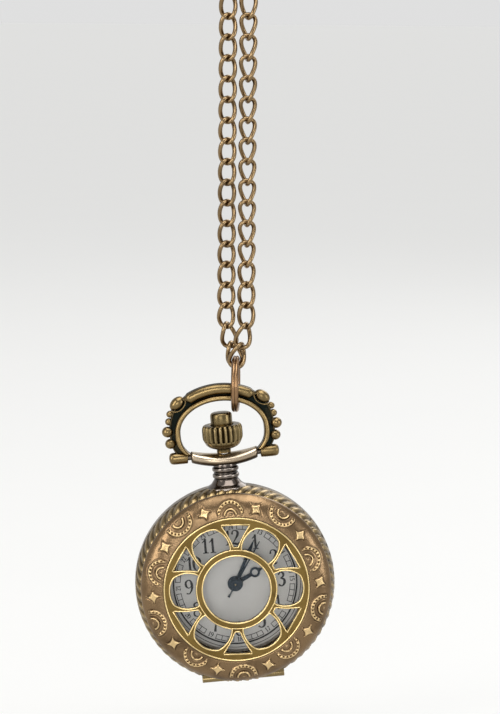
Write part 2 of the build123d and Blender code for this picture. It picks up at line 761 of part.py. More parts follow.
def bow_pins():
    pins = []
    for side in (-1, 1):
        inner = side * (BAR_HALF_LENGTH - BOW_PIN_REACH)
        outer = side * (boss_inner + BOSS_LENGTH / 2)
        pins.append(along_x(shaft(BOW_PIN_RADIUS, min(inner, outer), max(inner, outer)), 0, pin_line))
    return Compound(children=[pin.solid() for pin in pins])


# Crown, stem and release button

crown_base = crown_low + CROWN_COLLAR_LENGTH
flute_low = crown_base + CROWN_DOME_HEIGHT
flute_high = flute_low + CROWN_FLUTE_LENGTH
button_top = flute_high + BUTTON_PROUD
button_foot = flute_high - BUTTON_FOOT
well_floor = button_foot - BUTTON_TRAVEL - MOVE_GAP
stem_top = crown_base + CROWN_DOME_HEIGHT / 2
collar_low = catch_high + FIT
collar_high = collar_low + COLLAR_THICKNESS
cross_pin_z = (collar_low + collar_high) / 2


def crown():
    half_flute = math.pi / CROWN_FLUTES
    points = []
    for k in range(2 * CROWN_FLUTES):
        radius = CROWN_RADIUS - CROWN_FLUTE_DEPTH * (k % 2)
        points.append((radius * math.cos(k * half_flute), radius * math.sin(k * half_flute)))
    fluted = extrude(Pos(0, 0, flute_low) * make_face(Polyline(*points, close=True)), CROWN_FLUTE_LENGTH)
    dome = turned_upright(
        (0, flute_low), (CROWN_DOME_RADIUS, flute_low),
        (CROWN_DOME_RADIUS * DOME_SHARES[0], flute_low - CROWN_DOME_HEIGHT * DOME_SHARES[1]),
        (CROWN_COLLAR_RADIUS, crown_base), (CROWN_COLLAR_RADIUS, crown_low), (0, crown_low),
    )
    body = fluted + dome - bore(BUTTON_RADIUS + RUNNING_FIT, well_floor, flute_high + OVERRUN, STEM_SIDES)
    body -= shaft(STEM_RADIUS, crown_low - OVERRUN, stem_top)
    body -= bore(ROD_RADIUS + MOVE_GAP, stem_top - OVERRUN, flute_high)
    return body.solid()


def stem():
    groove_low = stem_groove - STEM_GROOVE_LENGTH / 2
    groove_high = groove_low + STEM_GROOVE_LENGTH
    rod_end = cross_pin_z - COLLAR_THICKNESS - BUTTON_TRAVEL
    tube = shaft(STEM_RADIUS, stem_end, stem_top) - bore(STEM_BORE_RADIUS, rod_end, stem_top)
    tube -= (
        shaft(STEM_RADIUS + FIT, groove_low, groove_high)
        - shaft(STEM_GROOVE_RADIUS, groove_low, groove_high)
    )
    reach = CROSS_PIN_RADIUS + RUNNING_FIT
    slot_low = cross_pin_z - BUTTON_TRAVEL - reach
    slot = block(-reach, reach, -STEM_RADIUS, STEM_RADIUS, slot_low, cross_pin_z + reach)
    return tube - slot


def release_button():
    return shaft(BUTTON_RADIUS, button_foot, button_top, STEM_SIDES)


def push_rod():
    """The button's rod, with the cross pin that carries its collar through the stem's slots."""
    half = (STEM_RADIUS + COLLAR_RADIUS) / 2
    pin = along_y(shaft(CROSS_PIN_RADIUS, -half, half), 0, cross_pin_z)
    collar = shaft(COLLAR_RADIUS, collar_low, collar_high)
    collar -= bore(STEM_RADIUS + RUNNING_FIT, collar_low, collar_high)
    return shaft(ROD_RADIUS, cross_pin_z - ROD_RADIUS, button_foot) + pin + collar


# Jump ring and chain

def faceted_loop(centres, outward, radius, sides):
    """A closed wire of flat triangles: centre points, an outward direction at each, and its section."""
    count = len(centres)
    rings = []
    for k in range(count):
        along = (centres[(k + 1) % count] - centres[k - 1]).normalized()
        first = (outward[k] - along * outward[k].dot(along)).normalized()
        second = along.cross(first)
        ring = []
        for j in range(sides):
            turn = 2 * math.pi * j / sides
            ring.append(centres[k] + first * (radius * math.cos(turn)) + second * (radius * math.sin(turn)))
        rings.append(ring)
    faces = []
    for k in range(count):
        here, ahead = rings[k], rings[(k + 1) % count]
        for j in range(sides):
            i = (j + 1) % sides
            for corners in ((here[j], here[i], ahead[i]), (here[j], ahead[i], ahead[j])):
                faces.append(Face(Wire.make_polygon(corners, close=True)))
    return Solid(Shell(faces))


def jump_ring():
    centres, outward = [], []
    for k in range(RING_STEPS):
        turn = 2 * math.pi * (k + 0.5) / RING_STEPS
        direction = Vector(0, math.cos(turn), math.sin(turn))
        outward.append(direction)
        centres.append(direction * RING_RADIUS)
    ring = faceted_loop(centres, outward, RING_WIRE_RADIUS, RING_SIDES)
    return Pos(0, 0, ring_centre) * Rot(Z=-RING_YAW) * ring


def chain_link():
    """One curb link: an oval whose ends are twisted across each other."""
    centres, outward = [], []
    for k in range(LINK_STEPS):
        turn = 2 * math.pi * k / LINK_STEPS
        x = LINK_HALF_WIDTH * math.cos(turn)
        z = link_half_length * math.sin(turn)
        y = LINK_TWIST_DEPTH * math.sin(2 * turn)
        centres.append(Vector(x, y, z))
        outward.append(Vector(math.cos(turn) / LINK_HALF_WIDTH, 0, math.sin(turn) / link_half_length))
    return faceted_loop(centres, outward, LINK_WIRE_RADIUS, LINK_SIDES)


def place_link(link, upper, lower, turn):
    """A copy of the link between two joint points, turned about its length."""
    along = Vector(*upper) - Vector(*lower)
    middle = (Vector(*upper) + Vector(*lower)) / 2
    across = Vector(1, 0, 0) - along * (along.X / along.dot(along))
    return Plane(origin=middle, x_dir=across, z_dir=along).location * Rot(Z=turn) * link


def strand_turns(side):
    """How far each link is turned about its length, from the hook down."""
    near_ring = LEFT_TURNS if side < 0 else RIGHT_TURNS
    steady = 0.0 if side < 0 else RIGHT_TURN
    count = LEAN_LINKS + STRAND_LINKS + len(END_LEANS)
    turns = [steady] * count
    for k, turn in enumerate(near_ring):
        turns[count - 1 - k] = turn
    for k in range(count):
        turns[k] = math.copysign(min(abs(turns[k]), UNTURN_STEP * k), turns[k])
    return turns


def chain_strand(side):
    """One strand: leaning links, the straight run, and the links that lead to the jump ring."""
    link = chain_link()
    joints = chain_joints(side)[1:]
    links = []
    for upper, lower, turn in zip(joints, joints[1:], strand_turns(side)):
        links.append(place_link(link, upper, lower, turn))
    return Compound(children=links)


def chain_top_links():
    link = chain_link()
    links = []
    for side in (-1, 1):
        upper, lower = chain_joints(side)[:2]
        links.append(place_link(link, upper, lower, 0))
    return Compound(children=links)


# Hands

hour_front = dial_face - HAND_GAP - HAND_THICKNESS
minute_front = hour_front - HAND_GAP - HAND_THICKNESS
second_front = minute_front - HAND_GAP - HAND_THICKNESS


def bar_sketch(width, start, end, tip=0):
    """A bar that points up from one radius to another, with a tapered tip."""
    half = width / 2
    shoulder = end - tip
    points = [
        (-half, start), (half, start), (half, shoulder),
        (half / 2, end), (-half / 2, end), (-half, shoulder),
    ]
    return make_face(Polyline(*points, close=True))


def pomme_hand(length, width, hub, pomme_place, pomme, hole):
    """A hand with a ring near its tip."""
    shape = RegularPolygon(hub, BOSS_SIDES) + bar_sketch(width, 0, pomme_place)
    shape += Pos(0, pomme_place) * RegularPolygon(pomme, BOSS_SIDES)
    shape += bar_sketch(width, pomme_place + pomme - width / 2, length, length - pomme_place - pomme)
    return shape - Pos(0, pomme_place) * RegularPolygon(hole, BOSS_SIDES)


def hour_hand():
    pomme_place = HOUR_POMME_SHARE * hour_length
    shape = pomme_hand(hour_length, HOUR_BAR_WIDTH, HUB_RADIUS, pomme_place, POMME_RADIUS, POMME_HOLE_RADIUS)
    shape -= pierced(HOUR_TUBE_RADIUS)
    return plate(Rot(Z=-HOUR_ANGLE) * shape, hour_front, hour_front + HAND_THICKNESS)


def minute_hand():
    shape = pomme_hand(minute_length, MINUTE_BAR_WIDTH, MINUTE_HUB_RADIUS, MINUTE_POMME_SHARE * minute_length,
                       POMME_RADIUS, POMME_HOLE_RADIUS)
    shape -= pierced(CANNON_RADIUS)
    return plate(Rot(Z=-MINUTE_ANGLE) * shape, minute_front, minute_front + HAND_THICKNESS)


def second_hand():
    shape = RegularPolygon(SECOND_HUB_RADIUS, BOSS_SIDES)
    shape += bar_sketch(SECOND_BAR_WIDTH, -second_tail, second_length)
    shape += Pos(0, -second_tail) * RegularPolygon(SECOND_DISC_RADIUS, BOSS_SIDES)
    shape -= pierced(ARBOR_RADIUS)
    return plate(Rot(Z=-SECOND_ANGLE) * shape, second_front, second_front + HAND_THICKNESS)


# Motion work: cannon pinion, minute wheel and hour wheel in front of the plate

motion_step = WHEEL_THICKNESS + WHEEL_STEP
low_wheel = plate_front - WHEEL_STEP - WHEEL_THICKNESS
high_wheel = low_wheel - motion_step
cannon_teeth = (minute_wheel_offset - MESH_GAP) / (1 + MINUTE_RATIO)
minute_wheel_radius = cannon_teeth * MINUTE_RATIO
minute_pinion = (minute_wheel_offset - MESH_GAP) / (1 + HOUR_RATIO)
hour_wheel_radius = minute_pinion * HOUR_RATIO


def toothed(radius):
    """A wheel's outline with pointed teeth."""
    points = []
    for k in range(2 * WHEEL_TEETH):
        turn = math.pi * k / WHEEL_TEETH
        reach = radius - TOOTH_DEPTH * (k % 2)
        points.append((reach * math.cos(turn), reach * math.sin(turn)))
    return make_face(Polyline(*points, close=True))


def tube_sketch(radius, hole):
    return RegularPolygon(radius, SHAFT_SIDES) - pierced(hole)


def hour_wheel():
    hole = CANNON_RADIUS + RUNNING_FIT
    wheel = plate(toothed(hour_wheel_radius) - pierced(hole), high_wheel, high_wheel + WHEEL_THICKNESS)
    return wheel + plate(tube_sketch(HOUR_TUBE_RADIUS, hole), hour_front, high_wheel)


def cannon_pinion():
    hole = CENTRE_TUBE_RADIUS + RUNNING_FIT
    pinion = plate(tube_sketch(cannon_teeth, hole), low_wheel, low_wheel + WHEEL_THICKNESS)
    return pinion + plate(tube_sketch(CANNON_RADIUS, hole), minute_front, low_wheel)


def minute_wheel():
    place = Pos(0, -minute_wheel_offset)
    hole = pierced(ARBOR_RADIUS + RUNNING_FIT)
    wheel = plate(place * (toothed(minute_wheel_radius) - hole), low_wheel, low_wheel + WHEEL_THICKNESS)
    return wheel + plate(place * (RegularPolygon(minute_pinion, SHAFT_SIDES) - hole), high_wheel, low_wheel)


# Going train between plate and bridge

train_1 = plate_back + WHEEL_THICKNESS
train_2 = train_1 + motion_step
train_3 = train_2 + motion_step
train_4 = train_3 + motion_step
third_pinion = (third_distance - MESH_GAP) / (1 + CENTRE_RATIO)
centre_wheel_radius = third_pinion * CENTRE_RATIO
second_pinion = (third_distance - MESH_GAP) / (1 + THIRD_RATIO)
third_wheel_radius = second_pinion * THIRD_RATIO
fifth_pinion = (fifth_distance - MESH_GAP) / (1 + SECOND_RATIO)
second_wheel_radius = fifth_pinion * SECOND_RATIO
rotor_pinion = (rotor_distance - MESH_GAP) / (1 + FIFTH_RATIO)
fifth_wheel_radius = rotor_pinion * FIFTH_RATIO
rotor_reach = fifth_distance + rotor_distance


def around(distance, angle):
    """A place at a distance and an angle from the hands' axis."""
    turn = math.radians(angle)
    return distance * math.cos(turn), distance * math.sin(turn)


def staff(radius, front, back, place=(0, 0)):
    """A flat-sided shaft of the movement along the hands' axis, at a place of x and z."""
    return along_y(shaft(radius, front, back), place[0], place[1])


def wheel_at(radius, front, place):
    return plate(Pos(*place) * toothed(radius), front, front + WHEEL_THICKNESS)


def centre_wheel():
    hole = ARBOR_RADIUS + RUNNING_FIT
    wheel = plate(toothed(centre_wheel_radius) - pierced(hole), train_1, train_1 + WHEEL_THICKNESS)
    return wheel + plate(tube_sketch(CENTRE_TUBE_RADIUS, hole), minute_front + HAND_THICKNESS, train_1)


def third_wheel():
    place = around(third_distance, THIRD_ANGLE)
    wheel = wheel_at(third_wheel_radius, train_3, place)
    wheel += staff(third_pinion, train_1, train_3, place)
    return wheel + staff(ARBOR_RADIUS, plate_back, bridge_front, place)


def second_wheel():
    wheel = wheel_at(second_wheel_radius, train_4, (0, 0))
    return wheel + staff(second_pinion, train_3, train_4) + staff(ARBOR_RADIUS, second_front, bridge_front)


def fifth_wheel():
    place = around(fifth_distance, FIFTH_ANGLE)
    wheel = wheel_at(fifth_wheel_radius, train_2, place)
    pinion = staff(fifth_pinion, train_2, train_4 + WHEEL_THICKNESS, place)
    return wheel + pinion + staff(ARBOR_RADIUS, plate_back, bridge_front, place)


def rotor():
    place = around(rotor_reach, FIFTH_ANGLE)
    magnet = staff(rotor_radius, train_3, train_3 + ROTOR_HEIGHT, place)
    pinion = staff(rotor_pinion, train_2, train_3, place)
    return magnet + pinion + staff(ARBOR_RADIUS, plate_back, bridge_front, place)


# Movement's fixed pieces

def stem_space(low, high):
    """The slot that the stem and the catch need through the plate and its holder."""
    half = STEM_RADIUS + STEM_CLEARANCE
    return block(-half, half, -half, half, low, high)


def movement_holder():
    front, back = dial_back, BAND_BACK - BACK_LIP_DEPTH
    outer = cavity_radius - HOLDER_FIT
    ring = shaft(outer, front, back, CAVITY_SIDES) - bore(holder_inner, front, back, CAVITY_SIDES)
    half = HOLDER_NOTCH_HALF
    return (along_y(ring) - block(-half, half, front - OVERRUN, BAND_BACK, 0, CASE_RADIUS)).solid()


def main_plate():
    disc = shaft(plate_radius, plate_front, plate_back, CAVITY_SIDES)
    disc -= bore(CENTRE_TUBE_RADIUS + RUNNING_FIT, plate_front, plate_back)
    post = staff(ARBOR_RADIUS, high_wheel, plate_front, (0, -minute_wheel_offset))
    return along_y(disc) + post - stem_space(stem_end - STEM_CLEARANCE, plate_radius + OVERRUN)


def pillar_places():
    inset = 2 * PILLAR_RADIUS
    return (
        (-bridge_left + inset, 0),
        (bridge_right - inset, bridge_top - inset),
        (bridge_right / 3, -bridge_bottom + inset),
    )


def train_bridge():
    outline = make_face(Polyline((-bridge_left, -bridge_bottom), (bridge_right, -bridge_bottom),
                                 (bridge_right, bridge_top), (-bridge_left, bridge_top), close=True))
    outline -= Pos(battery_x, battery_z) * Circle(battery_radius + STEM_CLEARANCE)
    bridge = plate(outline, bridge_front, bridge_back)
    for x, z in pillar_places():
        bridge += staff(PILLAR_RADIUS, plate_back, bridge_front, (x, z))
    return bridge.solid()


def battery():
    can = shaft(battery_radius, plate_back, plate_back + BATTERY_THICKNESS, STEM_SIDES)
    return along_y(can, battery_x, battery_z)


def battery_strap():
    back = plate_back + BATTERY_THICKNESS
    turn = Rot(Z=math.degrees(math.atan2(battery_z, battery_x)))
    strap = turn * Rectangle(STRAP_SHARES[0] * plate_radius, STRAP_SHARES[1] * plate_radius)
    return plate(Pos(battery_x, battery_z) * strap, back, back + STRAP_THICKNESS)


coil_y = plate_back + COIL_RADIUS


def coil():
    return Pos(coil_x, coil_y, 0) * shaft(COIL_RADIUS, coil_low, coil_high)


def stator():
    """The yoke that carries the rotor's field from both ends of the coil's core."""
    low, high = coil_low, coil_high
    place = around(rotor_reach, FIFTH_ANGLE)
    half = STATOR_ARM_SHARE * plate_radius / 2
    hole = rotor_radius + ROTOR_AIR_GAP
    outline = Pos(*place) * RegularPolygon(rotor_distance - fifth_pinion - MESH_GAP, SHAFT_SIDES)
    outline += make_face(Polyline((place[0], place[1] - half), (coil_x + half, low - COIL_CORE_END),
                                  (coil_x + half, low), (coil_x - half, low),
                                  (place[0], place[1] + half), close=True))
    outline += make_face(Polyline((place[0] - half / 2, place[1]), (place[0] + half, place[1]),
                                  (coil_x - COIL_RADIUS - half / 3, high),
                                  (coil_x + half, high), (coil_x + half, high + COIL_CORE_END),
                                  (coil_x - half - COIL_RADIUS, high + COIL_CORE_END), close=True))
    outline -= Pos(*place) * pierced(hole)
    return plate(outline, train_3, train_3 + STATOR_THICKNESS)


def circuit_board():
    outline = Circle(board_radius) & make_face(Polyline(
        (-board_radius, board_low), (board_right, board_low), (board_right, board_low + QUARTZ_RADIUS * 3),
        (-LEVER_LEFT - LEVER_RIGHT, board_radius), (-board_radius, board_radius), close=True))
    return plate(outline, plate_back, plate_back + BOARD_THICKNESS)


def quartz_can():
    y = plate_back + BOARD_THICKNESS + QUARTZ_RADIUS
    return along_x(shaft(QUARTZ_RADIUS, quartz_x, quartz_x + QUARTZ_LENGTH_SHARE * plate_radius), y, quartz_z)


def setting_lever():
    front = STEM_RADIUS + STEM_CLEARANCE
    z = stem_groove
    lever = block(-LEVER_LEFT, LEVER_RIGHT, front, front + LEVER_THICKNESS, z - LEVER_HALF_HEIGHT,
                  z + LEVER_HALF_HEIGHT)
    return lever + staff(LEVER_PIN_RADIUS, STEM_GROOVE_RADIUS + RUNNING_FIT, front, (0, z))


# Nodes of the watch, named as a person would name them

WATCH_NODES = {
    "bow": bow,
    "bow_pins": bow_pins,
    "case_middle": case_middle,
    "back_cover": back_cover,
    "bezel_ring": bezel_ring,
    "crystal": crystal,
    "dial": dial,
    "pendant_neck": neck,
    "pendant_bar": pendant_bar,
    "case_knuckles": case_knuckles,
    "hinge_pin": hinge_pin,
    "cover_rim": cover_rim,
    "flower_grille": flower_grille,
    "cover_knuckle": cover_knuckle,
    "cover_catch": cover_catch,
    "crown": crown,
    "winding_stem": stem,
    "setting_lever": setting_lever,
    "release_button": release_button,
    "push_rod": push_rod,
    "hour_hand": hour_hand,
    "minute_hand": minute_hand,
    "second_hand": second_hand,
    "hour_wheel": hour_wheel,
    "cannon_pinion": cannon_pinion,
    "minute_wheel": minute_wheel,
    "centre_wheel": centre_wheel,
    "third_wheel": third_wheel,
    "second_wheel": second_wheel,
    "fifth_wheel": fifth_wheel,
    "rotor": rotor,
    "movement_holder": movement_holder,
    "main_plate": main_plate,
    "train_bridge": train_bridge,
    "circuit_board": circuit_board,
    "quartz_can": quartz_can,
    "coil": coil,
    "stator": stator,
    "battery": battery,
    "battery_strap": battery_strap,
}

for node, make in WATCH_NODES.items():
    write(WATCH_PLACE * make(), node)
write(jump_ring(), "jump_ring")
write(chain_strand(-1), "chain_strand_left")
write(chain_strand(1), "chain_strand_right")
write(chain_top_links(), "chain_top_links")
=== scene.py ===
import bpy
import bmesh
import math
import numpy as np
from mathutils import Matrix, Vector

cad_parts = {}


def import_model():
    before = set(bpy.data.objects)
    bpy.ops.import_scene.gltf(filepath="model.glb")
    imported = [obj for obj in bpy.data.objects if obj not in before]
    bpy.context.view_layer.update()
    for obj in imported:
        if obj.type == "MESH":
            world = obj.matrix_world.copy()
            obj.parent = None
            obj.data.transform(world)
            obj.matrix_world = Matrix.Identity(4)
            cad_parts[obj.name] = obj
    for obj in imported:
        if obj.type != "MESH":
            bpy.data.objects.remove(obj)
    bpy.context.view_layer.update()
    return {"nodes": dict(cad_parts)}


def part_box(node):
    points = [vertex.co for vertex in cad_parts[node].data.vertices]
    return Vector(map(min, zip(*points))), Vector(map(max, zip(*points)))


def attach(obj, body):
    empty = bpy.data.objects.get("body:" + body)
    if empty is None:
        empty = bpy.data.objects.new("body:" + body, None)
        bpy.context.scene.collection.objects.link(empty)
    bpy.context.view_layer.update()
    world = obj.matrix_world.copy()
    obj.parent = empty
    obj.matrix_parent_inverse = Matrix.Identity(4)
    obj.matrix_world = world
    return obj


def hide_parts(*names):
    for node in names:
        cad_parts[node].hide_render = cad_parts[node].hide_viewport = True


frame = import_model()
MM = 0.001
# How far the watch hangs out of plumb, and where its middle is in the frame, in millimetres.
TILT = math.radians(5.1)
WATCH_X, WATCH_Z = 0.0793, -85.051

# ---------------------------------------------------------------- places and objects


def world(x, y, z):
    """A point of the watch, in millimetres, in the frame's metres."""
    c, s = math.cos(TILT), math.sin(TILT)
    return Vector((WATCH_X + x * c - z * s, y, WATCH_Z + x * s + z * c)) * MM


def circle(count, shift=0.0):
    """Cosine and sine of the steps round a circle."""
    turns = [2 * math.pi * (k + shift) / count for k in range(count)]
    return [(math.cos(t), math.sin(t)) for t in turns]


def add_object(name, data):
    """An object with this data, in the scene."""
    thing = bpy.data.objects.new(name, data)
    bpy.context.scene.collection.objects.link(thing)
    return thing


# ---------------------------------------------------------------- materials


class Tree:
    """An emptied node tree, with short ways to add the nodes that the looks use."""

    def __init__(self, tree):
        self.nodes, self.links = tree.nodes, tree.links
        self.nodes.clear()

    def feed(self, sockets, values):
        """Links sockets to outputs, or sets them to numbers or colours."""
        for key, value in values.items():
            if isinstance(value, bpy.types.NodeSocket):
                self.links.new(value, sockets[key])
            else:
                sockets[key].default_value = (*value, 1) if isinstance(value, tuple) else value

    def add(self, kind, values=None):
        """A new node with these values at its inputs."""
        node = self.nodes.new("ShaderNode" + kind)
        self.feed(node.inputs, values or {})
        return node

    def coords(self, kind="Object"):
        return self.add("TexCoord").outputs[kind]

    def ramp(self, value, *stops):
        """A grey ramp through pairs of place and shade."""
        node = self.add("ValToRGB", {0: value})
        elements = node.color_ramp.elements
        while len(elements) < len(stops):
            elements.new(0.5)
        for element, (place, shade) in zip(elements, stops):
            element.position = place
            element.color = (shade, shade, shade, 1)
        return node.outputs[0]

    def noise(self, coords, scale, detail=4, roughness=0.55, distortion=0.0):
        return self.add("TexNoise", {"Scale": scale, "Detail": detail, "Roughness": roughness,
                                     "Distortion": distortion, "Vector": coords}).outputs["Fac"]

    def mix(self, factor, first, second):
        """The first colour, the second or one between them."""
        node = self.add("Mix")
        node.data_type = "RGBA"
        self.feed(node.inputs, {0: factor, 6: first, 7: second})
        return node.outputs[2]

    def maths(self, operation, first, second, clamp):
        node = self.add("Math", {0: first, 1: second})
        node.operation = operation
        node.use_clamp = clamp
        return node.outputs[0]

    def total(self, first, second, clamp=False):
        return self.maths("ADD", first, second, clamp)

    def product(self, first, second, clamp=False):
        return self.maths("MULTIPLY", first, second, clamp)

    def bump(self, height, strength, distance):
        return self.add("Bump", {"Strength": strength, "Distance": distance, "Height": height}).outputs[0]

    def seen_rays(self):
        """1 for the rays that show the surroundings, in the picture and in metal and glass."""
        path = self.add("LightPath").outputs
        seen = self.total(path["Is Camera Ray"], path["Is Glossy Ray"])
        return self.total(seen, path["Is Transmission Ray"], clamp=True)


def new_material(name):
    """A material, its tree and the sockets of its shader."""
    material = bpy.data.materials.new(name)
    material.use_nodes = True
    tree = Tree(material.node_tree)
    shader = tree.add("BsdfPrincipled")
    tree.add("OutputMaterial", {0: shader.outputs[0]})
    return material, tree, shader.inputs


# The relief mark of a surface that is neither raised nor sunk.
LEVEL = 0.36
METAL_BUMP_DEPTH = 0.0002
MATTE_BUMP_DEPTH = 0.0001


def metal(name, base, deep, bright, rough, patina, wear_and_highlight, grain, bump, blotch=260.0, patina_rough=0.6):
    """A worn plated metal: base colour, dark tarnish in blotches, the deep colour in hollows as tarnish and
    painted shade, and the bright colour on high places as rubbed wear and painted highlight.

    The mesh attribute relief says how far a point stands above or below LEVEL; on the pendant bar it also
    carries painted light.
    """
    material, tree, shader = new_material(name)
    coords = tree.coords()
    large = tree.noise(coords, blotch, 6, 0.62, 0.4)
    small = tree.noise(coords, grain * 1.7, 5, 0.6)
    fine = tree.noise(coords, grain * 5, 3, 0.7)
    attribute = tree.add("Attribute")
    attribute.attribute_name = "relief"
    height = tree.total(attribute.outputs["Fac"], LEVEL)
    # Painted light: raised and lit marks take the bright colour, as rubbed wear and as a painted highlight,
    # and low marks take the deep colour, as tarnish and as painted shade.
    raised_and_lit = tree.ramp(height, (0.45, 0.0), (1.0, 1.0))
    hollow = tree.ramp(height, (0.0, 1.0), (0.28, 0.0))
    stain = tree.ramp(large, (0.46, 0.0), (0.68, 1.0))
    speck = tree.ramp(small, (0.45, 0.0), (0.75, 1.0))
    tarnish_and_shade = tree.total(tree.product(stain, patina), tree.product(hollow, 0.85))
    tarnish_and_shade = tree.total(tarnish_and_shade, tree.product(speck, patina * 0.35), clamp=True)
    colour = tree.mix(tree.product(small, 0.16), base, bright)
    colour = tree.mix(tarnish_and_shade, colour, deep)
    rubbed_and_highlight_share = tree.product(tree.product(raised_and_lit, wear_and_highlight), tree.total(small, 0.35), clamp=True)
    roughness = tree.total(tree.product(fine, rough[1] - rough[0]), rough[0])
    dulled = tree.product(tarnish_and_shade, patina_rough - rough[1])
    lumps = tree.total(tree.product(small, 0.7), tree.product(fine, 0.3))
    tree.feed(shader, {"Base Color": tree.mix(rubbed_and_highlight_share, colour, bright), "Metallic": 1.0,
                       "Roughness": tree.total(roughness, dulled, clamp=True),
                       "Normal": tree.bump(lumps, bump, METAL_BUMP_DEPTH)})
    return material


def matte(name, base, other, rough, scale=500.0, bump=0.1, metallic=0.0, coat=0.0):
    """A plain coated or moulded surface with a slight grain."""
    material, tree, shader = new_material(name)
    coords = tree.coords()
    large = tree.noise(coords, scale, 5)
    fine = tree.noise(coords, scale * 8, 3)
    tree.feed(shader, {"Base Color": tree.mix(large, base, other), "Metallic": metallic, "Coat Weight": coat,
                       "Roughness": tree.total(tree.product(fine, 0.2), rough - 0.1),
                       "Normal": tree.bump(fine, bump, MATTE_BUMP_DEPTH)})
    return material


def glass():
    """Clear flat glass that lets the light through to the dial."""
    material, tree, shader = new_material("crystal_glass_look")
    smear = tree.noise(tree.coords(), 180.0, 5, 0.6, 0.8)
    tree.feed(shader, {"Base Color": tree.mix(smear, (0.30, 0.32, 0.33), (0.22, 0.24, 0.25)), "Alpha": 0.06,
                       "Roughness": tree.ramp(smear, (0.45, 0.02), (0.8, 0.10))})
    return material


BRONZE = metal("border_bronze_look", (0.172, 0.107, 0.058), (0.030, 0.018, 0.010), (0.78, 0.57, 0.29),
               rough=(0.16, 0.32), patina=0.55, wear_and_highlight=0.9, grain=1300, bump=0.2, blotch=200.0)
BAND = metal("case_bronze_look", (0.120, 0.083, 0.040), (0.009, 0.006, 0.004), (0.56, 0.41, 0.20),
             rough=(0.18, 0.34), patina=0.5, wear_and_highlight=0.9, grain=1000, bump=0.18)
FLOWER = metal("flower_gold_look", (0.150, 0.096, 0.028), (0.036, 0.022, 0.008), (0.36, 0.25, 0.08),
               rough=(0.30, 0.46), patina=0.4, wear_and_highlight=0.3, grain=2200, bump=0.25)
BEAD_GOLD = metal("bead_gold_look", (0.66, 0.48, 0.20), (0.20, 0.13, 0.05), (0.96, 0.80, 0.46),
                  rough=(0.14, 0.28), patina=0.2, wear_and_highlight=0.3, grain=1500, bump=0.1)
BOW = metal("bow_bronze_look", (0.115, 0.080, 0.036), (0.009, 0.012, 0.010), (0.38, 0.265, 0.115),
            rough=(0.15, 0.30), patina=0.6, wear_and_highlight=0.9, grain=900, bump=0.14)
CROWN = metal("crown_bronze_look", (0.130, 0.095, 0.042), (0.010, 0.009, 0.005), (0.50, 0.37, 0.18),
              rough=(0.13, 0.28), patina=0.5, wear_and_highlight=0.7, grain=900, bump=0.12)
NECK = metal("neck_nickel_look", (0.115, 0.092, 0.078), (0.014, 0.012, 0.011), (0.50, 0.45, 0.40),
             rough=(0.10, 0.20), patina=0.5, wear_and_highlight=0.7, grain=900, bump=0.06, patina_rough=0.35)
BAR = metal("bar_champagne_look", (0.46, 0.36, 0.25), (0.055, 0.038, 0.022), (0.86, 0.76, 0.60),
            rough=(0.12, 0.26), patina=0.4, wear_and_highlight=0.9, grain=800, bump=0.06)
PIN = metal("pin_dark_look", (0.10, 0.085, 0.07), (0.015, 0.013, 0.011), (0.35, 0.30, 0.25),
            rough=(0.2, 0.34), patina=0.4, wear_and_highlight=0.3, grain=900, bump=0.06)
CHAIN = metal("chain_brass_look", (0.19, 0.125, 0.062), (0.020, 0.012, 0.007), (0.54, 0.38, 0.20),
              rough=(0.15, 0.30), patina=0.45, wear_and_highlight=0.5, grain=900, bump=0.1)
RING = metal("ring_brass_look", (0.20, 0.112, 0.056), (0.024, 0.013, 0.007), (0.60, 0.38, 0.20),
             rough=(0.14, 0.28), patina=0.4, wear_and_highlight=0.5, grain=900, bump=0.08)
STEEL = metal("steel_look", (0.55, 0.54, 0.52), (0.12, 0.11, 0.10), (0.85, 0.84, 0.82),
              rough=(0.2, 0.38), patina=0.25, wear_and_highlight=0.5, grain=1200, bump=0.08)
BRASS = metal("brass_look", (0.72, 0.52, 0.22), (0.2, 0.13, 0.05), (0.95, 0.80, 0.45),
              rough=(0.2, 0.36), patina=0.2, wear_and_highlight=0.6, grain=1400, bump=0.08)
COPPER = metal("copper_look", (0.72, 0.32, 0.14), (0.22, 0.08, 0.03), (0.95, 0.6, 0.4),
               rough=(0.28, 0.45), patina=0.2, wear_and_highlight=0.4, grain=3000, bump=0.3)
BLUE = metal("hand_blue_look", (0.014, 0.020, 0.026), (0.005, 0.006, 0.008), (0.06, 0.08, 0.10),
             rough=(0.22, 0.38), patina=0.3, wear_and_highlight=0.4, grain=1500, bump=0.05)
SILVER = matte("dial_silver_look", (0.76, 0.75, 0.725), (0.70, 0.69, 0.66), rough=0.42, scale=420, bump=0.12,
               metallic=0.25)
INK = matte("dial_ink_look", (0.010, 0.010, 0.012), (0.03, 0.03, 0.032), rough=0.45, scale=900)
PLASTIC = matte("holder_plastic_look", (0.62, 0.60, 0.55), (0.52, 0.50, 0.46), rough=0.5)
GREEN = matte("board_plastic_look", (0.03, 0.12, 0.06), (0.05, 0.17, 0.09), rough=0.4, coat=0.3)
GLASS = glass()

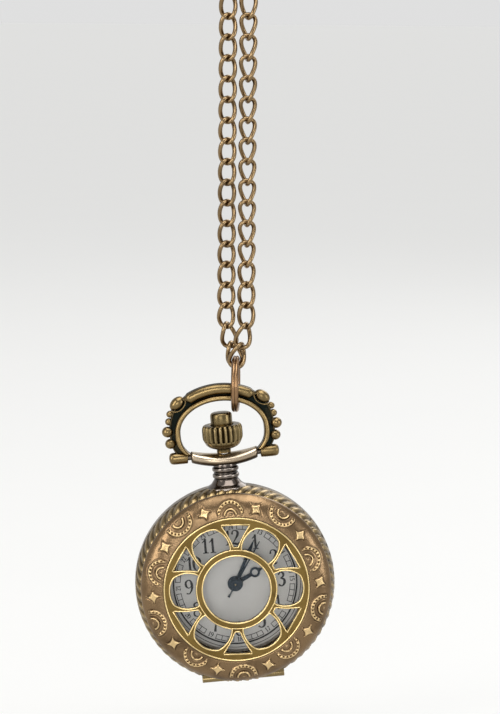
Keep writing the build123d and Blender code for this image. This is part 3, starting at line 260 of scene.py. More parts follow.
NODE_LOOKS = (
    (CHAIN, "chain_top_links", "chain_strand_left", "chain_strand_right"),
    (RING, "jump_ring"), (BOW, "bow"), (PIN, "bow_pins"), (NECK, "pendant_neck"), (BAR, "pendant_bar"),
    (BAND, "case_middle", "back_cover", "bezel_ring"), (BRONZE, "cover_rim"), (FLOWER, "flower_grille"),
    (CROWN, "case_knuckles", "cover_knuckle", "crown", "release_button"),
    (GLASS, "crystal"), (SILVER, "dial"), (BLUE, "hour_hand", "minute_hand", "second_hand"),
    (PLASTIC, "movement_holder"), (GREEN, "circuit_board"), (COPPER, "coil"),
    (STEEL, "hinge_pin", "cover_catch", "setting_lever", "winding_stem", "push_rod", "train_bridge",
     "quartz_can", "stator", "battery", "battery_strap", "rotor"),
)
look_of = {node_name: look for look, *node_names in NODE_LOOKS for node_name in node_names}
for node_name, node in frame["nodes"].items():
    for slot in node.material_slots:
        slot.material = look_of.get(node_name, BRASS)

# ---------------------------------------------------------------- mesh helpers

# The curvature, per metre, of a full mark.
CURVE_SCALE = 7000.0
CORNER_STEPS = 4


def smooth_step(low, high, value):
    """0 below low, 1 above high and a soft rise between them."""
    t = min(max((value - low) / (high - low), 0.0), 1.0)
    return t * t * (3 - 2 * t)


def placed(rings):
    """Rings of the watch's points, in millimetres, in the frame's metres."""
    return [[world(*p) for p in ring] for ring in rings]


def mesh_object(name, shape):
    """An object from verts in metres and faces, which are turned outward."""
    verts, faces = shape
    mesh = bpy.data.meshes.new(name)
    mesh.from_pydata([tuple(v) for v in verts], [], faces)
    editable = bmesh.new()
    editable.from_mesh(mesh)
    bmesh.ops.recalc_face_normals(editable, faces=editable.faces)
    editable.to_mesh(mesh)
    editable.free()
    return add_object(name, mesh)


def rows_of(items, name, width, kind=np.float32):
    """One property of all points or edges of a mesh, a row for each."""
    values = np.empty(len(items) * width, dtype=kind)
    items.foreach_get(name, values)
    return values.reshape(-1, width)


def curvature(mesh):
    """How far each point of a mesh bulges, in parts of CURVE_SCALE: above 0 on edges, below 0 in grooves."""
    count = len(mesh.vertices)
    points = rows_of(mesh.vertices, "co", 3)
    normals = rows_of(mesh.vertex_normals, "vector", 3)
    first, last = rows_of(mesh.edges, "vertices", 2, np.int32).T
    span = points[last] - points[first]
    square = np.maximum((span ** 2).sum(axis=1), 1e-12)
    total = np.bincount(first, -(normals[first] * span).sum(axis=1) / square, count)
    total += np.bincount(last, (normals[last] * span).sum(axis=1) / square, count)
    edge_counts = np.bincount(first, minlength=count) + np.bincount(last, minlength=count)
    total /= np.maximum(edge_counts, 1)
    return np.clip(2 * total / CURVE_SCALE, -LEVEL, 1 - LEVEL)


def make_piece(name, shape, look, body, relief=None, angle=50.0):
    """A piece of the watch. Edges sharper than the angle stay sharp, and all do where it is None.

    The relief marks are the points' own, or else come from the curvature.
    """
    piece = mesh_object(name, shape)
    mesh = piece.data
    marks = curvature(mesh) if relief is None else np.array(relief) - LEVEL
    attribute = mesh.attributes.new("relief", "FLOAT", "POINT")
    attribute.data.foreach_set("value", marks.astype(np.float32))
    if angle is not None:
        mesh.shade_smooth()
        mesh.set_sharp_from_angle(angle=math.radians(angle))
    mesh.materials.append(look)
    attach(piece, body)
    return piece


def loft(rings, closed_rings=True, closed_path=False, caps=True):
    """Verts and faces through rings of the same count of points."""
    count = len(rings[0])
    verts = [p for ring in rings for p in ring]
    faces = []
    last = len(rings) if closed_path else len(rings) - 1
    for i in range(last):
        here, ahead = i * count, ((i + 1) % len(rings)) * count
        for j in range(count if closed_rings else count - 1):
            k = (j + 1) % count
            faces.append((here + j, here + k, ahead + k, ahead + j))
    if caps and not closed_path:
        faces.append(tuple(range(count)))
        faces.append(tuple(range((len(rings) - 1) * count, len(rings) * count)))
    return verts, faces


def cut_out(piece, rings):
    """Cuts the closed shape through some rings out of a finished piece."""
    cutter = mesh_object("cutter", loft(rings))
    modifier = piece.modifiers.new("cut", "BOOLEAN")
    modifier.operation = "DIFFERENCE"
    modifier.solver = "EXACT"
    modifier.object = cutter
    done = piece.evaluated_get(bpy.context.evaluated_depsgraph_get())
    result = bpy.data.meshes.new_from_object(done)
    piece.modifiers.remove(modifier)
    piece.data = result
    bpy.data.objects.remove(cutter)


def lathe(name, profile, look, body, steps, axis="y", angle=40.0, bump=None, closed=True):
    """A turned piece about the watch's Y or Z axis, from points of radius and height in millimetres.

    A bump gives what is added to the radius at a turn, radius and height.
    """
    rings = []
    for k, (c, s) in enumerate(circle(steps)):
        ring = []
        for radius, height in profile:
            r = radius + (bump(2 * math.pi * k / steps, radius, height) if bump else 0.0)
            ring.append((r * c, height, r * s) if axis == "y" else (r * c, r * s, height))
        rings.append(ring)
    shape = loft(placed(rings), closed_rings=closed, closed_path=True)
    return make_piece(name, shape, look, body, angle=angle)


def rounded(points, radius):
    """A closed profile, each corner that isn't on the axis rounded by short straight steps."""
    result = []
    for i, point in enumerate(points):
        here = Vector(point)
        if here.x <= 1e-6:
            result.append(tuple(here))
            continue
        before, after = Vector(points[i - 1]), Vector(points[(i + 1) % len(points)])
        a, b = before - here, after - here
        cut = min(radius, a.length * 0.45, b.length * 0.45)
        first, last = here + a.normalized() * cut, here + b.normalized() * cut
        for k in range(CORNER_STEPS + 1):
            t = k / CORNER_STEPS
            result.append(tuple((1 - t) ** 2 * first + 2 * t * (1 - t) * here + t ** 2 * last))
    return result


def tube(points, radius, sides, closed=False, up=Vector((0, 1, 0))):
    """Rings of a round tube along points, in the points' own units."""
    rings = []
    last = len(points) - 1
    for i, point in enumerate(points):
        ahead = points[(i + 1) % len(points)] if closed or i < last else point
        behind = points[i - 1] if closed or i > 0 else point
        along = (ahead - behind).normalized()
        first = along.cross(up).normalized()
        second = along.cross(first)
        rings.append([point + (first * c + second * s) * radius for c, s in circle(sides)])
    return rings


def joined(parts):
    """One list of verts and faces from several."""
    verts, faces = [], []
    for part_verts, part_faces in parts:
        start = len(verts)
        verts += part_verts
        faces += [tuple(start + i for i in face) for face in part_faces]
    return verts, faces


# ---------------------------------------------------------------- camera and light

# The place, turn and scale that lay the render over the photo.
CAMERA_TARGET = Vector((1.892, 0, -54.465)) * MM
CAMERA_DISTANCE = 0.380
CAMERA_AZIMUTH = math.radians(-3.073)
CAMERA_PITCH = math.radians(7.6)
CAMERA_ROLL = math.radians(-0.451)
PIXELS_PER_MM = 7.479
PICTURE_HEIGHT = 714
SENSOR = 24.0

level = math.cos(CAMERA_PITCH)
back = Vector((math.sin(CAMERA_AZIMUTH) * level, -math.cos(CAMERA_AZIMUTH) * level, math.sin(CAMERA_PITCH)))
right = Vector((math.cos(CAMERA_AZIMUTH), math.sin(CAMERA_AZIMUTH), 0))
up = back.cross(right)
axis_x = right * math.cos(CAMERA_ROLL) - up * math.sin(CAMERA_ROLL)
axis_y = right * math.sin(CAMERA_ROLL) + up * math.cos(CAMERA_ROLL)
camera_data = bpy.data.cameras.new("camera")
camera = add_object("camera", camera_data)
spot = CAMERA_TARGET + back * CAMERA_DISTANCE
camera.matrix_world = Matrix((*zip(axis_x, axis_y, back, spot), (0, 0, 0, 1)))
camera_data.sensor_fit = "VERTICAL"
camera_data.sensor_height = SENSOR
camera_data.lens = SENSOR * CAMERA_DISTANCE * 1000 * PIXELS_PER_MM / PICTURE_HEIGHT
camera_data.clip_start = 0.01
camera_data.clip_end = 20.0
bpy.context.scene.camera = camera
bpy.context.scene.view_settings.view_transform = "Standard"

LIGHT_TARGET = Vector((0, 0, -0.07))
WHITE = (1, 1, 1)
for name, place, size, power, colour in (
        ("softbox_left", (-0.42, -0.28, 0.12), (0.20, 0.5), 1.5, (1.0, 0.97, 0.93)),
        ("softbox_right", (0.44, -0.24, -0.02), (0.16, 0.45), 1.0, (0.95, 0.97, 1.0)),
        ("softbox_top", (0.03, -0.08, 0.40), (0.42, 0.42), 2.2, WHITE),
        ("front_fill", (-0.10, -0.80, 0.05), (0.35, 0.3), 1.5, WHITE),
        ("back_rim", (0.25, 0.40, 0.25), (0.3, 0.3), 0.9, WHITE)):
    lamp = bpy.data.lights.new(name, "AREA")
    lamp.shape = "RECTANGLE"
    lamp.size, lamp.size_y = size
    lamp.energy = power
    lamp.color = colour
    light = add_object(name, lamp)
    light.location = place
    light.rotation_euler = (LIGHT_TARGET - Vector(place)).to_track_quat("-Z", "Y").to_euler()

FAR_GREY = 0.66
WALL_FOOT = FAR_GREY * 1.124
WALL_HEAD = 0.5
world_data = bpy.data.worlds.new("studio")
world_data.use_nodes = True
bpy.context.scene.world = world_data
sky = Tree(world_data.node_tree)
soft = sky.add("Background", {"Color": (0.80, 0.82, 0.85), "Strength": 0.13})
direction = sky.add("SeparateXYZ", {0: sky.coords("Generated")})
wall_shade = sky.ramp(direction.outputs["Z"], (0.0, WALL_FOOT), (0.15, WALL_FOOT), (0.85, WALL_HEAD))
wall = sky.add("Background", {"Color": wall_shade})
either = sky.add("MixShader", {0: sky.seen_rays(), 1: soft.outputs[0], 2: wall.outputs[0]})
sky.add("OutputWorld", {0: either.outputs[0]})

# ---------------------------------------------------------------- floor

FLOOR_Z = -0.107
FLOOR_RADIUS = 6.0
FLOOR_SIDES = 64
floor_mesh = bpy.data.meshes.new("studio_floor")
floor_mesh.from_pydata([(FLOOR_RADIUS * c, FLOOR_RADIUS * s, FLOOR_Z) for c, s in circle(FLOOR_SIDES)], [],
                       [tuple(range(FLOOR_SIDES))])
floor = add_object("studio_floor", floor_mesh)
floor_look, tree, shader = new_material("floor_look")
floor_colour = tree.mix(tree.noise(tree.coords(), 30.0), (0.23, 0.23, 0.226), (0.245, 0.245, 0.241))
tree.feed(shader, {"Base Color": floor_colour, "Roughness": 0.85,
                   "Emission Color": (FAR_GREY, FAR_GREY, FAR_GREY * 0.985),
                   "Emission Strength": tree.seen_rays()})
floor_mesh.materials.append(floor_look)

# ---------------------------------------------------------------- chain

# The route's points are those that part.py's links are hung on.
STRAND = [(1.339, 0.0, -5.847 - 2.77 * k) for k in range(16)]
RIGHT_ROUTE = [(2.119, 0.0, -0.463), (1.729, 0.0, -3.155)] + STRAND + [
    (1.339, -0.21, -50.159), (0.699, -0.52, -52.836), (-0.173, -0.82, -55.448)]
LEFT_ROUTE = [(-x, -y, z) for x, y, z in RIGHT_ROUTE]
ROUTE = LEFT_ROUTE[::-1] + [(0.0, 0.0, 0.9)] + RIGHT_ROUTE
LINK_COUNT = 42
LINK_WIRE = 0.29
LINK_HALF_WIDTH = 0.955
LINK_HALF_LENGTH = 1.62
LINK_TWIST = 0.5
LINK_STEPS = 40
LINK_SIDES = 12
LEFT_TURNS = [0.0] * 16 + [3.5, 3.5, 26.0, 24.2]
RIGHT_TURNS = [-35.0] * 15 + [-19.0, -4.0, -4.0, 23.0, 24.0]
TURN_STEP = 12.0


def route_points(route):
    """Points of the smooth line that a spline with these control points follows."""
    curve = bpy.data.curves.new("chain_route", "CURVE")
    curve.dimensions = "3D"
    curve.resolution_u = 16
    spline = curve.splines.new("NURBS")
    spline.points.add(len(route) - 1)
    for point, place in zip(spline.points, route):
        point.co = (*(Vector(place) * MM), 1)
    spline.order_u = 3
    spline.use_endpoint_u = True
    holder = add_object("chain_route", curve)
    line = bpy.data.meshes.new_from_object(holder.evaluated_get(bpy.context.evaluated_depsgraph_get()))
    points = [v.co.copy() for v in line.vertices]
    bpy.data.meshes.remove(line)
    bpy.data.objects.remove(holder)
    bpy.data.curves.remove(curve)
    return points


def along_line(points, distance):
    """The place and direction at a distance along the line."""
    for a, b in zip(points, points[1:]):
        step = (b - a).length
        if distance <= step:
            break
        distance -= step
    return a + (b - a) * (distance / step), (b - a).normalized()


def link_turns():
    """How far each link is turned about its length, from the left strand's foot to the right one's.

    The first link from the arch isn't turned, and each next one may be turned TURN_STEP degrees more.
    """
    left, right_side = [[math.copysign(min(abs(turn), TURN_STEP * k), turn) for k, turn in enumerate(turns)]
                        for turns in (LEFT_TURNS, RIGHT_TURNS)]
    return left[::-1] + [0.0, 0.0] + right_side


def curb_link(middle_point, along, turn, flip):
    """A smooth curb link in metres."""
    across = (Vector((1, 0, 0)) - along * along.x).normalized()
    if flip:
        along = -along
    depth = along.cross(across)
    c, s = math.cos(math.radians(turn)), math.sin(math.radians(turn))
    side, deep = across * c + depth * s, depth * c - across * s
    angles = [2 * math.pi * k / LINK_STEPS for k in range(LINK_STEPS)]
    centres = [Vector((LINK_HALF_WIDTH * math.cos(t), LINK_TWIST * math.sin(2 * t),
                       LINK_HALF_LENGTH * math.sin(t))) for t in angles]
    rings = []
    for k, t in enumerate(angles):
        tangent = (centres[(k + 1) % LINK_STEPS] - centres[k - 1]).normalized()
        out = Vector((math.cos(t) / LINK_HALF_WIDTH, 0, math.sin(t) / LINK_HALF_LENGTH))
        first = (out - tangent * out.dot(tangent)).normalized()
        second = tangent.cross(first)
        ring = [centres[k] + (first * c + second * s) * LINK_WIRE for c, s in circle(LINK_SIDES)]
        rings.append([middle_point + (side * p.x + deep * p.y + along * p.z) * MM for p in ring])
    return loft(rings, closed_path=True)


line = route_points(ROUTE)
line_length = sum((b - a).length for a, b in zip(line, line[1:]))
chain_parts = []
for index, turn in enumerate(link_turns()):
    place, along = along_line(line, (index + 0.5) * line_length / LINK_COUNT)
    chain_parts.append(curb_link(place, along, turn, index >= LINK_COUNT // 2))
chain = make_piece("chain_links", joined(chain_parts), CHAIN, "chain")
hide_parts("chain_top_links", "chain_strand_left", "chain_strand_right")

# ---------------------------------------------------------------- jump ring

RING_CENTRE = Vector((0, 0, -58.085))
RING_RADIUS = 3.33
RING_WIRE = 0.51
RING_STEPS = 120
RING_SIDES = 32
RING_YAW = math.radians(5)
GROOVE_DEPTH = 0.24
GROOVE_WIDTH = 0.24
yaw_c, yaw_s = math.cos(RING_YAW), math.sin(RING_YAW)
ring_points = [RING_CENTRE + Vector((RING_RADIUS * c * yaw_s, RING_RADIUS * c * yaw_c, RING_RADIUS * s))
               for c, s in circle(RING_STEPS)]
rings = tube(ring_points, RING_WIRE, RING_SIDES, closed=True, up=Vector((yaw_c, -yaw_s, 0)))
for centre, ring in zip(ring_points, rings):
    outward = (centre - RING_CENTRE).normalized()
    for k, point in enumerate(ring):
        across = point - centre
        angle = math.acos(min(1.0, abs(across.normalized().dot(outward))))
        ring[k] = centre + across * (1 - GROOVE_DEPTH * math.exp(-(angle / GROOVE_WIDTH) ** 2))
ring_shape = loft([[p * MM for p in ring] for ring in rings], closed_path=True)
jump_ring = make_piece("jump_ring_round", ring_shape, RING, "ring")
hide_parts("jump_ring")

# ---------------------------------------------------------------- bow

PIN_LINE = 17.48
BOW_CENTRE = 20.83
BOW_STEPS = 192
LEG = 0.19
FOOT_RISE = 0.5
BEAD_LOW, BEAD_HIGH = math.radians(45), math.radians(55)
# Each edge's half width, rise over the bow's centre, half width at the foot and fullness.
INNER_EDGE = (5.60, 3.98, 4.45, 2.0)
OUTER_EDGE = (7.08, 6.24, 6.25, 2.2)
RIDGE_STEPS = 8
BEAD_STEPS = 20
CUP_STEPS = 24
CUP_DEPTH = 0.62
CUP_START, CUP_SWEEP = 188, 164
CUP_CLEAR = (0.10, 0.12)
CUP_WIRE = 0.09
BOSS_SIDES = 32
BOSS_MIDDLE = 6.12
BEAD_MARK = 0.66
# Each bead's middle across and above the pins, its half length and half width, and its lean in degrees.
BEADS = ((5.72, 7.42, 1.14, 0.80, 38), (6.80, 6.08, 0.50, 0.46, 30), (7.02, 5.05, 0.52, 0.50, 10),
         (7.30, 3.68, 0.78, 0.74, 0), (7.02, 2.06, 0.76, 0.70, 0))
BOSS_PROFILE = [(0.0, -1.22), (0.70, -1.22), (0.79, -1.14), (0.81, -1.0), (0.82, -0.4), (0.82, 0.3),
                (0.81, 0.72), (0.76, 0.94), (0.66, 1.10), (0.50, 1.20), (0.28, 1.27), (0.0, 1.30)]


def arch_turn(t):
    """The angle over the arch at a share of the bow, 0 where the right leg ends."""
    return math.pi * (t - LEG) / (1 - 2 * LEG)


def ridge_share(t):
    """1 where the outer ridge stands, over the top, and 0 below the two large beads."""
    if t < LEG or t > 1 - LEG:
        return 0.0
    turn = arch_turn(t)
    return smooth_step(BEAD_LOW, BEAD_HIGH, min(turn, math.pi - turn))


def bow_edge(edge, t):
    """A point on one edge of the bow, from the right foot at 0 over the arch to the left foot at 1."""
    half, rise, foot, fullness = edge
    if t > 0.5:
        p = bow_edge(edge, 1 - t)
        return Vector((-p.x, 0, p.z))
    if t < LEG:
        s = t / LEG
        low = PIN_LINE + FOOT_RISE
        return Vector((foot + (half - foot) * (1 - (1 - s) ** 3), 0, low + (BOW_CENTRE - low) * s))
    turn = arch_turn(t)
    x = half * abs(math.cos(turn)) ** (2 / fullness)
    return Vector((x, 0, BOW_CENTRE + rise * math.sin(turn) ** (2 / fullness)))


def ridge_points(start, span, depth, floor, top_mark):
    """Points over one round ridge of the bow's section: across share, depth and mark."""
    points = []
    for k in range(RIDGE_STEPS + 1):
        a = math.pi * k / RIDGE_STEPS
        points.append((start + span / 2 * (1 - math.cos(a)), floor + (depth - floor) * math.sin(a) ** 0.75,
                       top_mark * math.sin(a) ** 0.6))
    return points


def bow_section(t, width):
    """Points round the bow's section: across share, depth and a mark for how raised each is."""
    ridge = ridge_share(t)
    inner = 0.80 / width
    outer = (0.30 + 1.12 * ridge) / width
    gap = max(1 - inner - outer, 0.05)
    points = ridge_points(0.0, inner, 1.08, 0.30, 0.92)
    points += [(inner + gap * 0.25, 0.29, 0.0), (inner + gap * 0.75, 0.31, 0.0)]
    points += ridge_points(inner + gap, outer, 0.50 + 0.62 * ridge, 0.32, 0.10 + 0.62 * ridge)
    return [(share, -depth, mark) for share, depth, mark in points] + points[::-1]


def bead_place(bead, side, across, rise):
    """Where a point of a bead is in x and z, from its offsets along the bead's long and short axes."""
    x, z, lean = bead[0], bead[1], bead[4]
    c, s = math.cos(math.radians(-side * lean)), math.sin(math.radians(-side * lean))
    return side * x + across * c - rise * s, PIN_LINE + z + across * s + rise * c


def oval_bead(bead, side):
    """One of the bow's beads, a leaned ellipsoid."""
    long_half, short_half = bead[2:4]
    rings = []
    for i in range(1, BEAD_STEPS):
        polar = math.pi * i / BEAD_STEPS
        ring = []
        for c, s in circle(2 * BEAD_STEPS):
            x, z = bead_place(bead, side, long_half * math.sin(polar) * c, short_half * math.sin(polar) * s)
            ring.append((x, short_half * 1.05 * math.cos(polar), z))
        rings.append(ring)
    return loft(placed(rings))


def bead_cup(bead, side, depth):
    """A thin rib under a bead, on the front or the back of the bow."""
    long_half, short_half = bead[2:4]
    points = []
    for k in range(CUP_STEPS + 1):
        turn = math.radians(CUP_START + CUP_SWEEP * k / CUP_STEPS)
        across = (long_half + CUP_CLEAR[0]) * math.cos(turn)
        x, z = bead_place(bead, side, across, (short_half + CUP_CLEAR[1]) * math.sin(turn))
        points.append(Vector((x, depth, z)))
    return loft(placed(tube(points, CUP_WIRE, 8)))


bow_rings, bow_marks = [], []
for k in range(BOW_STEPS + 1):
    t = k / BOW_STEPS
    inside, outside = bow_edge(INNER_EDGE, t), bow_edge(OUTER_EDGE, t)
    ring = []
    for share, depth, mark in bow_section(t, (outside - inside).length):
        p = inside + (outside - inside) * share
        ring.append((p.x, depth, p.z))
        bow_marks.append(mark)
    bow_rings.append(ring)
parts = [loft(placed(bow_rings))]
for side in (-1, 1):
    parts += [oval_bead(bead, side) for bead in BEADS]
    parts += [bead_cup(BEADS[0], side, depth) for depth in (-CUP_DEPTH, CUP_DEPTH)]
    boss = [[(side * (BOSS_MIDDLE + height), radius * c, PIN_LINE + radius * s)
             for c, s in circle(BOSS_SIDES)] for radius, height in BOSS_PROFILE]
    parts.append(loft(placed(boss), caps=False))
bow_shape = joined(parts)
marks = bow_marks + [BEAD_MARK] * (len(bow_shape[0]) - len(bow_marks))
bow = make_piece("bow_openwork", bow_shape, BOW, "bow_loop", relief=marks, angle=70)
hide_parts("bow")

# ---------------------------------------------------------------- pendant bar and neck

BAR_HALF = 4.45
BAR_STEPS = 60
BAR_SIDES = 40
BAR_SAG = 0.66
BAR_END = (0.70, 0.76)
BAR_COLLARS = (0, 1, BAR_STEPS - 1, BAR_STEPS)

bar_rings, bar_marks_and_painted_light = [], []
for k in range(BAR_STEPS + 1):
    x = -BAR_HALF + 2 * BAR_HALF * k / BAR_STEPS
    far = (abs(x) / BAR_HALF) ** 2
    half_height, half_depth = 0.79 + 0.10 * (1 - far), 1.75 + (0.85 - 1.75) * far
    if k in (0, BAR_STEPS):
        half_height, half_depth = BAR_END
    collar = 1.0 if k in BAR_COLLARS else 0.0
    ring = []
    for c, s in circle(BAR_SIDES):
        ring.append((x, half_depth * c, PIN_LINE - BAR_SAG * (1 - far) + half_height * s))
        # Painted light: the underside is marked down to the deep colour as painted shade, and the upper half
        # up to the bright colour as a painted highlight, as if lit from above; the end collars are marked
        # dark.
        under = min(max((0.05 - s) / 0.5, 0.0), 1.0)
        bar_marks_and_painted_light.append(0.44 * (1 - max(under, collar)) + 0.40 * max(0.0, s) * (1 - collar))
    bar_rings.append(ring)
bar = make_piece("pendant_bar_crescent", loft(placed(bar_rings)), BAR, "case",
                 relief=bar_marks_and_painted_light, angle=60)
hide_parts("pendant_bar")

neck_profile = rounded([(0.69, 12.85), (2.75, 12.85), (2.75, 13.15), (2.1, 13.55), (1.62, 14.2),
                        (1.62, 14.35), (1.8, 14.5), (1.8, 14.85), (1.6, 15.0), (1.6, 15.25), (1.8, 15.4),
                        (1.8, 15.75), (1.55, 15.9), (1.52, 16.35), (0.69, 16.35)], 0.14)
neck = lathe("pendant_neck_turned", neck_profile, NECK, "case", 96, axis="z")
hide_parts("pendant_neck")

# ---------------------------------------------------------------- crown and button

FLUTES = 22
FLUTE_DEPTH = 0.34
FLUTE_FOOT = 19.4
FLUTE_RADIUS = 2.5

crown_profile = [(0.68, 17.77), (0.9, 17.77), (0.95, 17.82), (0.95, 18.2), (1.15, 18.3), (1.55, 18.42),
                 (1.95, 18.6), (2.25, 18.85), (2.42, 19.12), (2.5, 19.34)]
for k in range(13):
    share = k / 12
    crown_profile.append((2.72 - 0.16 * (2 * share - 1) ** 4, 19.42 + 2.05 * share))
crown_profile += [(2.45, 21.55), (2.2, 21.6), (1.7, 21.6), (1.60, 21.52), (1.60, 20.42), (0.4, 20.42),
                  (0.4, 18.0)]


def flute(turn, radius, height):
    """The grooves in the crown's side wall."""
    if height < FLUTE_FOOT or radius < FLUTE_RADIUS:
        return 0.0
    wave = 0.5 + 0.5 * math.cos(FLUTES * turn)
    return -FLUTE_DEPTH * (1 - wave ** 0.6)


crown = lathe("crown_fluted", crown_profile, CROWN, "crown_body", 16 * FLUTES, axis="z",
              angle=45, bump=flute)
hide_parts("crown")
button_profile = [(0.0, 20.9), (1.42, 20.9), (1.47, 21.0), (1.47, 22.78), (1.42, 23.0), (1.28, 23.16),
                  (1.05, 23.24), (0.7, 23.28), (0.0, 23.29)]
button = lathe("release_button_turned", button_profile, CROWN, "button_body", 72,
               axis="z", closed=False)
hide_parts("release_button")

# ---------------------------------------------------------------- case band

BAND_STEPS = 900
LOBES = 62
LOBE_SINK = 0.30
LOBE_FOOT = 12.3
LOBE_REAR = -0.75
BAND_FRONT = -3.3
# The channel that the hinge's knuckles lie in.
CHANNEL_BACK = -2.12
CHANNEL_TOP = 11.75
CHANNEL_HALF = 5.585
CHANNEL_RADIUS = 12.6
CHANNEL_INSIDE = 10.8
WALL_FROM = 12.0
# The bore for the push rod and the slot for the catch.
CUT_LOW = 10.8
BORE_RADIUS = 1.2
BORE_SIDES = 48
BORE_TOP = 14.0
SLOT_HALF = 1.06
SLOT_FRONT = -4.0
SLOT_TOP = 11.65

band_profile = [(10.69, -3.28), (10.72, BAND_FRONT)]
band_profile += [(10.72 + 1.78 * k / 8, BAND_FRONT) for k in range(9)]
for k in range(23):
    turn = k / 22 * math.pi / 2
    band_profile.append((12.55 + 0.89 * math.sin(turn), BAND_FRONT + 2.2 * (1 - math.cos(turn))))
band_profile += [(13.44, -1.1 + 2.1 * k / 12) for k in range(1, 13)]
band_profile += [(13.41, 1.15), (13.25, 1.5), (12.9, 2.1), (12.55, 2.55), (12.5, 2.6), (11.3, 2.6),
                 (11.3, -1.1), (9.1, -1.1), (9.1, -2.55), (10.69, -2.55)]


def band_relief(turn, radius, y):
    """How far the leaf lobes of the front shoulder sink below the surface, and a mark of their height."""
    if radius < LOBE_FOOT or y > LOBE_REAR:
        return 0.0, LEVEL
    share = (y - BAND_FRONT) / 2.5
    inside = min(1.0, (radius - LOBE_FOOT) / 0.25) * min(1.0, max(0.0, (LOBE_REAR - y) / 0.3))
    phase = (turn * LOBES / (2 * math.pi) + 1.05 * share) % 1.0
    leaf = math.sin(math.pi * phase) ** 0.7
    vein = 0.35 * math.exp(-((phase - 0.62) / 0.08) ** 2)
    height = (leaf - vein) * inside
    # The mark paints the lobes' tops bright, as rubbed wear and a painted highlight, and their grooves dark,
    # as patina and painted shade.
    return -LOBE_SINK * inside * (1 - height), LEVEL * (1 - inside) + inside * (0.02 + 0.80 * height)


def with_channel_edge(profile):
    """The profile with two more points where the hinge channel's floor meets the band's outside."""
    for i in range(len(profile) - 1):
        (r0, y0), (r1, y1) = profile[i], profile[i + 1]
        if r0 > WALL_FROM and y0 < CHANNEL_BACK <= y1:
            r = r0 + (r1 - r0) * ((CHANNEL_BACK - y0) / (y1 - y0))
            return profile[:i + 1] + [(r, CHANNEL_BACK - 0.001), (r, CHANNEL_BACK)] + profile[i + 1:]
    return profile


band_profile = with_channel_edge(band_profile)
rings, marks = [], []
for k, (c, s) in enumerate(circle(BAND_STEPS, 0.5)):
    turn = 2 * math.pi * (k + 0.5) / BAND_STEPS
    ring = []
    for radius, y in band_profile:
        lift, mark = band_relief(turn, radius, y)
        r = radius + lift
        if s < 0 and y < CHANNEL_BACK and radius > CHANNEL_INSIDE:
            wall = CHANNEL_TOP / -s
            if r > wall and abs(c * CHANNEL_RADIUS) < CHANNEL_HALF:
                r, mark = wall, 0.1
        ring.append((r * c, y, r * s))
        marks.append(mark)
    rings.append(ring)
band = make_piece("case_band", loft(placed(rings), closed_path=True), BAND, "case",
                  relief=marks, angle=60)
bore = [(BORE_RADIUS * c, BORE_RADIUS * s) for c, s in circle(BORE_SIDES)]
slot = [(-SLOT_HALF, SLOT_FRONT), (SLOT_HALF, SLOT_FRONT), (SLOT_HALF, SLOT_HALF), (-SLOT_HALF, SLOT_HALF)]
for outline, top in ((bore, BORE_TOP), (slot, SLOT_TOP)):
    cut_out(band, placed([[(x, y, z) for x, y in outline] for z in (CUT_LOW, top)]))
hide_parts("case_middle")

back_profile = rounded([(0, 4.6), (8.35, 4.6), (9.6, 4.42), (12.1, 3.2), (12.4, 3.0), (12.4, 2.65),
                        (11.25, 2.65), (11.25, 1.95), (10.85, 1.95), (7.7, 3.9), (0, 3.9)], 0.5)
back_cover = lathe("back_cover_domed", back_profile, BAND, "case", 256, angle=60)
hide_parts("back_cover")
bezel_profile = rounded([(9.92, -2.55), (9.92, -3.12), (10.0, -3.2), (10.66, -3.28), (10.67, -2.55)], 0.06)
bezel = lathe("bezel_ring_round", bezel_profile, BAND, "case", 256)
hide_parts("bezel_ring")

# ---------------------------------------------------------------- engraved border of the cover

BORDER_STEPS = 1080
BORDER_ROWS = 46
# Suns stand on the even multiples of this angle and stars on the odd ones.
SECTOR = 18.0
STAR_MIDDLE = 11.15
STAR_SIZE = 1.30
STAR_LEANS = (0.47, -0.16)
SUN_LOW, SUN_HIGH = 10.18, 12.12
SUN_RADIUS = 1.85
GROUND = 0.34
# Steps in angle and radius to the places that say whether an ornament is near.
NEAR = ((0.9, 0), (-0.9, 0), (0, 0.14), (0, -0.14))
RAISED, SUNK = 0.17, 0.07
# The marks paint the raised ornament bright, as rubbed wear and a painted highlight, and the trench round it
# dark, as tarnish and painted shade.
RAISED_MARK, SUNK_MARK = 0.66, 0.24
THROAT = 9.8
FACE_WIDTH = 3.0


def line_mark(distance, half_width):
    """1 on a line and 0 away from it."""
    return 1.0 - smooth_step(half_width * 0.45, half_width * 1.35, abs(distance))


def sun_mark(u, v, radius):
    """A half sun that opens down: a rim cut by short slots, a smooth field and a small arc inside it."""
    r = math.hypot(u, v)
    if v < -0.12 or r > radius * 1.1:
        return 0.0
    angle = math.atan2(u, max(v, 1e-6))
    ends = smooth_step(-0.1, 0.05, v)
    slot = (0.5 + 0.5 * math.cos(angle * 21)) ** 1.5 * line_mark(r - radius * 0.88, 0.13)
    rim = line_mark(r - radius * 0.90, 0.25) * (1 - slot)
    arc = line_mark(r - radius * 0.42, 0.12)
    core = 0.5 * (1.0 - smooth_step(radius * 0.06, radius * 0.2, r))
    return max(rim, arc, core) * ends


def star_mark(u, v, size, lean):
    """A four-pointed star with hollow sides, its points swept round a little."""
    lean += 0.30 * (math.hypot(u, v) / size - 0.3)
    c, s = math.cos(lean), math.sin(lean)
    a, b = abs(u * c - v * s) / size, abs(u * s + v * c) / size
    d = a ** 0.53 + b ** 0.53
    return 1.0 - smooth_step(0.84, 1.04, d)


